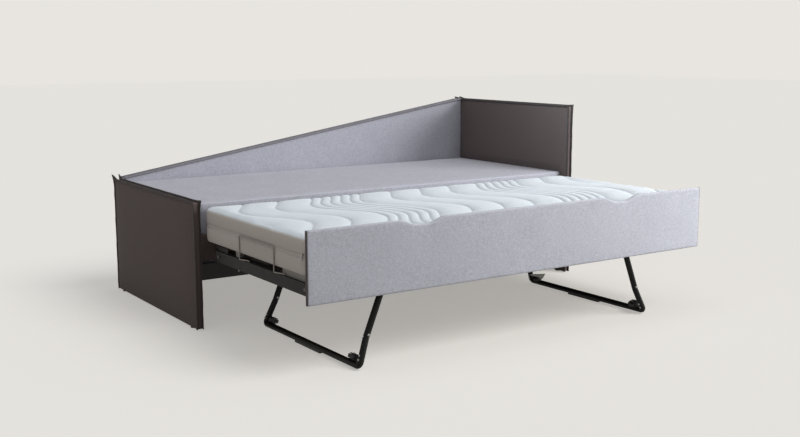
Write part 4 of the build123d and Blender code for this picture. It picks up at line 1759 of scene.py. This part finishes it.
@dataclass
class Mattress:
    """The trundle's mattress: a quilted top with sewn waves, and a border with a zip."""

    half_length: float = 1.0
    half_width: float = 0.435
    middle_y: float = -0.457
    top: float = 0.517
    bottom: float = 0.377
    corner: float = 0.045
    edge: float = 0.017
    foot_edge: float = 0.012
    wave_swing: float = 0.063
    wave_length: float = 0.600
    crest_y: float = -0.562
    wide_pitch: float = 0.166
    close_pitch: float = 0.0495
    close_waves: int = 6
    wave_limit: float = 1.045
    quilt_offset: float = 0.040
    shear_until: float = 0.80
    shear_end: float = 0.03
    fit_from: float = 0.90
    groove_depth: float = 0.0030
    groove_width: float = 0.0028
    dip_depth: float = 0.0032
    dip_run: float = 0.012
    calm_border: float = 0.012
    sway: Ripple = Ripple((0.0005, 31, 4, 0), (0.0004, -9, 43, 0))
    wave_steps: tuple[float, ...] = (-0.017, -0.010, -0.0055, -0.0026, 0)
    edge_steps: tuple[float, ...] = (0.0, 0.0007, 0.0022, 0.005, 0.009, 0.014)
    edge_end: float = 0.020
    wave_cell: float = 0.012
    end_cell: float = 0.0034
    row_cell: float = 0.010
    held_depth: float = 0.008
    held_seam: float = 0.0024
    held_border: float = 0.006
    zip_height: float = 0.447
    pull_y: float = -0.862
    pull_rise: float = 0.003
    stitch_rise: float = 0.0105
    stitch_out: float = 0.0006

    @cached_property
    def waves(self) -> list[float]:
        """Where each quilted wave lies along the bed.

        Returns:
            The waves' middles from the low end to the high end.
        """
        between = 2 * self.wide_pitch
        places = [self.quilt_offset - between / 2 + i * self.wide_pitch for i in range(3)]
        for side in (-1, 1):
            start = self.quilt_offset + side * (between / 2 + self.wide_pitch)
            places += [start + side * i * self.close_pitch for i in range(self.close_waves)]
            end = start + side * (self.close_waves - 1) * self.close_pitch
            places += [end + side * (i + 1) * self.wide_pitch for i in range(3)]
        return sorted(x for x in places if abs(x) < self.wave_limit)

    def swing(self, y: float) -> float:
        """Return how far a wave lies from its middle at a place across the bed."""
        return self.wave_swing * math.cos(2 * math.pi * (y - self.crest_y) / self.wave_length)

    def from_seam(self, x: float, y: float) -> float:
        """Return how far a place on the top is from the nearest quilted wave.

        Args:
            x: The place along the bed.
            y: The place across the bed.

        Returns:
            The distance, square to the wave.
        """
        slope = -self.wave_swing * 2 * math.pi / self.wave_length * math.sin(
            2 * math.pi * (y - self.crest_y) / self.wave_length)
        swing = self.swing(y)
        return min(abs(x - place - swing) for place in self.waves) / math.sqrt(1 + slope * slope)

    def groove(self, x: float, y: float) -> float:
        """Return how deep the quilting draws the top down at a place.

        Args:
            x: The place along the bed.
            y: The place across the bed.

        Returns:
            The depth.
        """
        near = self.from_seam(x, y)
        seam = self.groove_depth * math.exp(-((near / self.groove_width) ** 2))
        return seam + self.dip_depth * math.exp(-near / self.dip_run)

    def columns(self) -> list[float]:
        """Return the grid's columns before they are sheared: dense at each wave and at the ends.

        Returns:
            The columns' places along the bed.
        """
        places = {
            round(wave + side * offset, 5)
            for wave in self.waves if abs(wave) < self.shear_until
            for offset in self.wave_steps for side in (1, -1)
        }
        inner = sorted(places)
        filled = [inner[0]]
        for here, there in zip(inner, inner[1:]):
            filled.extend(steps(here, there, self.wave_cell)[1:])
        low = steps(-self.half_length + self.edge_end, filled[0], self.end_cell)[:-1]
        high = steps(filled[-1], self.half_length - self.edge_end, self.end_cell)[1:]
        return [
            *(-self.half_length + d for d in self.edge_steps), *low, *filled, *high,
            *(self.half_length - d for d in reversed(self.edge_steps)),
        ]

    def rows(self) -> list[float]:
        """Return the grid's rows across the bed.

        Returns:
            The rows' places.
        """
        front, back = self.middle_y - self.half_width, self.middle_y + self.half_width
        return [
            *(front + d for d in self.edge_steps),
            *steps(front + self.edge_end, back - self.edge_end, self.row_cell),
            *(back - d for d in reversed(self.edge_steps)),
        ]

    def plan_end(self, y: float) -> float:
        """Return the rounded plan's half length at a place across the bed.

        Args:
            y: The place across the bed.

        Returns:
            The half length there.
        """
        over = abs(y - self.middle_y) - (self.half_width - self.corner)
        if over <= 0:
            return self.half_length
        return self.half_length - self.corner + math.sqrt(max(0.0, self.corner ** 2 - over ** 2))

    def inside(self, x: float, y: float) -> float:
        """Return the distance from a place to the rounded plan's border, or 0 outside it.

        Args:
            x: The place along the bed.
            y: The place across the bed.

        Returns:
            The distance.
        """
        dx = abs(x) - (self.half_length - self.corner)
        dy = abs(y - self.middle_y) - (self.half_width - self.corner)
        if dx > 0 and dy > 0:
            return max(0.0, self.corner - math.hypot(dx, dy))
        return max(0.0, min(self.corner - dx, self.corner - dy))

    def plan_place(self, column: float, y: float) -> float:
        """Shear a column along the waves and fit it to the rounded plan.

        Args:
            column: The column before it is sheared.
            y: The place across the bed.

        Returns:
            The place along the bed.
        """
        run = self.half_length - self.shear_end - self.shear_until
        x = column + self.swing(y) * (1 - eased((abs(column) - self.shear_until) / run))
        start = self.fit_from
        if abs(x) > start:
            over = (abs(x) - start) * (self.plan_end(y) - start) / (self.half_length - start)
            x = math.copysign(start + over, x)
        return x

    def top_point(self, column: float, y: float) -> Vector:
        """Return a point of the quilted top.

        Args:
            column: Its column before it is sheared.
            y: Its place across the bed.

        Returns:
            The point.
        """
        x = self.plan_place(column, y)
        inside = self.inside(x, y)
        drop = round_drop(inside, self.edge)
        fade = min(1.0, inside / self.calm_border)
        z = self.top - drop - self.groove(x, y) * fade + self.sway.at(x, y) * fade
        return Vector((x, y, z))

    def build_shape(self) -> tuple[list[Vector], list[Face]]:
        """Make the quilted top, the border and the flat underside.

        Returns:
            The points and the faces.
        """
        columns, rows = self.columns(), self.rows()
        points = [self.top_point(column, y) for y in rows for column in columns]
        faces = grid_faces(len(columns), len(rows))
        ring = rim = grid_rim(len(columns), len(rows))
        for z, outward in self.border():
            start = len(points)
            for number, index in enumerate(rim):
                foot = points[index]
                along = points[rim[(number + 1) % len(rim)]] - points[rim[number - 1]]
                normal = Vector((along.y, -along.x, 0)).normalized()
                points.append(Vector((foot.x, foot.y, z)) + normal * outward)
            fresh = list(range(start, len(points)))
            faces += band_faces(ring, fresh)
            ring = fresh
        faces.append(tuple(ring))
        return points, faces

    def border(self) -> list[tuple[float, float]]:
        """List the border's levels from the top down, each with how far it stands out.

        Returns:
            The levels' heights and distances.
        """
        zip_z = self.zip_height
        levels = [
            (self.top - self.edge - 0.002, 0.0004), (self.top - 0.034, 0.0013),
            (self.top - 0.048, 0.0017), (zip_z + 0.013, 0.0008), (zip_z + 0.0085, 0.0),
            (zip_z + 0.0068, -0.0022), (zip_z + 0.0058, -0.0006), (zip_z + 0.003, -0.0012),
            (zip_z, -0.0018), (zip_z - 0.003, -0.0012), (zip_z - 0.0058, -0.0006),
            (zip_z - 0.0068, -0.0022), (zip_z - 0.0085, 0.0), (zip_z - 0.013, 0.0008),
            (zip_z - 0.030, 0.0017), (self.bottom + 0.024, 0.0013),
            (self.bottom + 0.012, 0.0004),
        ]
        for angle in (30, 60, 80, 90):
            turn = math.radians(angle)
            levels.append((
                self.bottom + self.foot_edge * (1 - math.sin(turn)),
                -self.foot_edge * (1 - math.cos(turn))))
        return levels

    def build_cover(self) -> bpy.types.Object:
        """Build the quilted mattress.

        Returns:
            The finished piece.
        """
        piece = mesh_object("quilted_mattress", *self.build_shape())
        held = [
            v.index for v in piece.data.vertices
            if v.co.z < self.top - self.held_depth
            or self.from_seam(v.co.x, v.co.y) < self.held_seam
            or self.inside(v.co.x, v.co.y) < self.held_border
        ]
        Swell(pressure=8.0, frames=6, most=0.0045, bending=0.3, quality=2).run(piece, held)
        return finish_piece(piece, "trundle", TICKING, ["trundle_mattress"])

    def build_zip_pull(self) -> bpy.types.Object:
        """Build the zip's slider and its small tab near the panel.

        Returns:
            The finished piece.
        """
        face, middle = -self.half_length - 0.0002, self.zip_height + self.pull_rise
        slider = [
            (0.0, 0.0075), (0.0042, 0.006), (0.0055, 0.001), (0.0035, -0.005), (0.0, -0.0065),
            (-0.0035, -0.005), (-0.0055, 0.001), (-0.0042, 0.006),
        ]
        tab = [(0.0018, -0.003), (0.0026, -0.009), (0.0030, -0.017), (0.0016, -0.0205)]
        tab += [(-y, z) for y, z in reversed(tab)]
        narrow, short = 0.86, 0.93
        parts = []
        for name, shape, near, far in (
            ("slider", slider, 0.0, -0.0030), ("tab", tab, -0.0026, -0.0040),
        ):
            points = [(face + near, self.pull_y + y, middle + z) for y, z in shape]
            points += [
                (face + far, self.pull_y + y * narrow, middle + z * short) for y, z in shape]
            part = mesh_object(name, points, tube_faces(2, len(shape)), smooth=False)
            rounded = part.modifiers.new("rounded", "BEVEL")
            rounded.width = 0.0006
            rounded.segments = 2
            parts.append(bake(part))
        piece = join("mattress_zip_pull", parts)
        return finish_piece(piece, "trundle", PLATED_STEEL)

    def reach(self, direction: Vector) -> float:
        """Return how far the rounded plan's border is from its middle, found by halving.

        Args:
            direction: The direction from the middle.

        Returns:
            The distance to the stitch line.
        """
        step = 0.6
        reach = 2 * step
        while step > 0.00002:
            here = direction * reach
            reach += step if self.inside(here.x, self.middle_y + here.y) > 0 else -step
            step /= 2
        return reach + self.stitch_out

    def sew(self) -> bpy.types.Object:
        """Sew the zip's two stitch lines round the border.

        Returns:
            The finished piece.
        """
        outline = []
        for degrees in range(361):
            turn = math.radians(degrees)
            direction = Vector((math.cos(turn), math.sin(turn)))
            outline.append(direction * self.reach(direction))
        seams = [
            [Vector((p.x, self.middle_y + p.y, self.zip_height + rise)) for p in outline]
            for rise in (self.stitch_rise, -self.stitch_rise)
        ]
        return stitches.sew("mattress_border_stitches", seams, PALE_THREAD, "trundle", "ticking")

    def build(self) -> None:
        """Build the mattress and what is sewn to it."""
        self.build_cover()
        self.build_zip_pull()
        self.sew()


# Hard pieces, which keep their CAD shape


class Hard(Enum):
    """The finishes of the pieces that keep their CAD shape."""

    RAW_BOARDS = RAW_BOARD
    DARK_BOARD = BLACK_BOARD
    SLATS = SLAT_WOOD
    PLASTIC = BLACK_PLASTIC
    BLOCKS = GREY_PLASTIC
    FRAME = BLACK_PAINT
    WIRE = WIRE_STEEL
    DULLED = DULLED_STEEL
    PLATED = PLATED_STEEL
    TYRES = WHEEL_PLASTIC


@dataclass
class Hardware:
    """Dresses the pieces that keep their CAD shape, and adds their small fittings."""

    finishes: dict[Hard, tuple[str, ...]] = field(default_factory=lambda: {
        Hard.RAW_BOARDS: (
            "seat_front_board", "seat_rear_board", "seat_side_boards", "seat_ledges",
            "slat_bearers", "left_arm_core", "right_arm_core", "back_core", "front_panel_core",
        ),
        Hard.DARK_BOARD: ("back_bottom_rail",),
        Hard.SLATS: ("seat_slats", "trundle_slats"),
        Hard.PLASTIC: (
            "base_glides", "seat_slat_holders", "trundle_slat_holders", "rail_caps",
            "left_foot_pad", "right_foot_pad",
        ),
        Hard.BLOCKS: ("spacer_blocks",),
        Hard.FRAME: (
            "left_side_rail", "right_side_rail", "front_beam", "rear_beam", "middle_beam",
            "rear_catches", "hinge_brackets", "left_leg_loop", "right_leg_loop",
            "left_leg_upper_tubes", "right_leg_upper_tubes", "left_wheel_brackets",
            "right_wheel_brackets",
        ),
        Hard.WIRE: ("left_retainer", "right_retainer"),
        Hard.DULLED: ("rail_bolts",),
        Hard.PLATED: (
            "corner_brackets", "bracket_bolts", "long_bolts", "panel_bolts",
            "hinge_pins", "left_leg_rivets", "right_leg_rivets", "left_wheel_axles",
            "right_wheel_axles", "right_leg_blade",
        ),
        Hard.TYRES: (
            "left_front_wheel", "left_rear_wheel", "right_front_wheel", "right_rear_wheel",
        ),
    })
    screw_radius: float = 0.0055
    screw_dome: float = 0.0022
    rail_face: float = 0.8377
    rail_screw_height: float = 0.030
    rail_screws: tuple[float, ...] = (-0.9, -0.437, 0.0, 0.437, 0.9)

    def dress(self) -> None:
        """Give each CAD piece its finish."""
        for hard, names in self.finishes.items():
            material = hard.value.build()
            for name in names:
                materials = frame["nodes"][name].data.materials
                materials.clear()
                materials.append(material)
            log.info("%s: %d nodes", hard.value.name, len(names))

    def screw_tree(self) -> bpy.types.NodeTree:
        """Build the tree that sets a domed screw head on each point, facing forwards.

        Returns:
            The geometry node group.
        """
        tree = bpy.data.node_groups.new("screw_heads", "GeometryNodeTree")
        given, result = open_tree(tree, {
            "Places": "Geometry", "Radius": "Float", "Dome": "Float", "Steel": "Material",
        }, {"Screws": "Geometry"})
        radius, dome = given.outputs["Radius"], given.outputs["Dome"]
        place_balls(tree, result, (16, 8), (radius, dome, radius), given.outputs["Steel"], {
            "Points": given.outputs["Places"]})
        return tree

    def add_screws(self) -> bpy.types.Object:
        """Set the screws of the low rail behind the seat.

        Returns:
            The screws as one piece.
        """
        places = [(x, self.rail_face, self.rail_screw_height) for x in self.rail_screws]
        piece = grow("back_rail_screws", places, [], self.screw_tree(), {
            "Radius": self.screw_radius, "Dome": self.screw_dome, "Steel": PLATED_STEEL.build(),
        })
        piece.data.polygons.foreach_set("use_smooth", [True] * len(piece.data.polygons))
        return finish_piece(piece, "base")

    def build(self) -> None:
        """Dress the hard pieces and add the screws."""
        self.dress()
        self.add_screws()


# Camera, light and floor


COOL = (0.96, 0.98, 1.0)


@dataclass(frozen=True)
class Lamp:
    """A sun, or a rectangular soft lamp if it has a size."""

    name: str
    power: float
    target: Point
    place: Point = (0.0, 0.0, 0.0)
    angle: float = 0.0
    size: Optional[tuple[float, float]] = None
    colour: Colour = (1.0, 1.0, 1.0)

    def build(self, pieces: Sequence[bpy.types.Object], state: str) -> bpy.types.Object:
        """Build the lamp, which lights only some pieces, or all but some pieces.

        Args:
            pieces: The pieces.
            state: INCLUDE for only these pieces, EXCLUDE for all the others.

        Returns:
            The lamp.
        """
        data = bpy.data.lights.new(self.name, "SUN" if self.size is None else "AREA")
        data.energy, data.color = self.power, self.colour
        lamp = add_object(self.name, data)
        lamp.location = self.place
        if self.size is None:
            data.angle = math.radians(self.angle)
        else:
            data.shape = "RECTANGLE"
            data.size, data.size_y = self.size
            lamp.visible_camera = False
        way = Vector(self.target) - Vector(self.place)
        lamp.rotation_euler = way.to_track_quat("-Z", "Y").to_euler()
        group = bpy.data.collections.new(f"{self.name}_pieces")
        for piece in pieces:
            group.objects.link(piece)
        lamp.light_linking.receiver_collection = group
        for member in group.collection_objects:
            member.light_linking.link_state = state
        return lamp


FLOOR_SUN = Lamp("floor_sun", 1.43, (-0.5, 0.85, -1.0), angle=38)
TOP_SUN = Lamp("top_sun", 1.25, (-0.14, 0.2, -1.0), angle=44)
RIGHT_WINDOW = Lamp(
    "right_window", 132, (0.3, -0.5, 0.45), (2.8, -2.8, 1.6), size=(2.0, 1.6), colour=COOL)
ARM_FILL = Lamp(
    "arm_fill", 4.6, (1.02, 0.05, 0.7), (0.6, -0.25, 1.25), size=(0.4, 0.3),
    colour=(0.75, 0.93, 1.0))
FLOOR_PAINT = StageFinish(
    "studio_floor_paint", BACKGROUND, 0.9, own_light=0.1, glow=4.7, bounce=0.6)


@dataclass
class Studio:
    """The photograph's camera, a plain soft light and a pale floor."""

    camera_place: Point = (-2.7644, -4.0673, 1.1733)
    pitch: float = 9.21
    yaw: float = 34.21
    lens: float = 47.69
    sensor: float = 36.0
    sky: float = 0.24
    floor_size: float = 60.0
    sight: float = 200.0

    def build_camera(self) -> bpy.types.Object:
        """Set the camera at the photograph's place.

        Returns:
            The camera.
        """
        data = bpy.data.cameras.new("photo_camera")
        data.sensor_width, data.lens, data.clip_end = self.sensor, self.lens, self.sight
        camera = add_object("photo_camera", data)
        camera.location = self.camera_place
        camera.rotation_euler = Euler(
            (math.radians(90 - self.pitch), 0, -math.radians(self.yaw)))
        bpy.context.scene.camera = camera
        return camera

    def build_world(self) -> None:
        """Show the pale background to the camera, and light the object evenly."""
        world = bpy.data.worlds.new("studio")
        world.use_nodes = True
        bpy.context.scene.world = world
        tree = world.node_tree
        tree.nodes.clear()
        soft, seen = (
            add_node(tree, "ShaderNodeBackground", {"Color": (*colour, 1), "Strength": strength})
            for colour, strength in ((COOL, self.sky), (BACKGROUND, 1.0)))
        rays = add_node(tree, "ShaderNodeLightPath").outputs
        share = rays["Is Camera Ray"]
        for kind in ("Is Glossy Ray", "Is Transmission Ray"):
            share = math_node(tree, "MAXIMUM", share, rays[kind])
        mix = add_node(tree, "ShaderNodeMixShader", {
            "Fac": share, 1: soft.outputs[0], 2: seen.outputs[0]})
        add_node(tree, "ShaderNodeOutputWorld", {"Surface": mix.outputs[0]})

    def build_floor(self) -> bpy.types.Object:
        """Lay the pale floor.

        Returns:
            The floor.
        """
        half = self.floor_size / 2
        corners = [(-half, -half, 0), (half, -half, 0), (half, half, 0), (-half, half, 0)]
        floor = mesh_object("studio_floor", corners, [(0, 1, 2, 3)], smooth=False)
        floor.data.materials.append(FLOOR_PAINT.build())
        return floor

    def build(self) -> None:
        """Build the world, the floor and the lamps."""
        bpy.context.scene.view_settings.view_transform = "Standard"
        self.build_world()
        floor = self.build_floor()
        arm_pieces = [
            o for o in bpy.data.objects if o.name.startswith("right_arm_") and o.type == "MESH"]
        FLOOR_SUN.build([floor], "INCLUDE")
        TOP_SUN.build([floor], "EXCLUDE")
        RIGHT_WINDOW.build([floor], "EXCLUDE")
        ARM_FILL.build(arm_pieces, "INCLUDE")


def main() -> None:
    """Build the camera and every sub-assembly in order, then the studio."""
    studio = Studio()
    studio.build_camera()
    builders = [
        Arm(-1, 0.547, 0.025), Arm(1, 0.877, 0.012), Back(), Seat(), FrontPanel(), Mattress(),
        Hardware(),
    ]
    for builder in builders:
        builder.build()
        log.info("%s built", type(builder).__name__)
    studio.build()


if __name__ == "__main__":
    main()
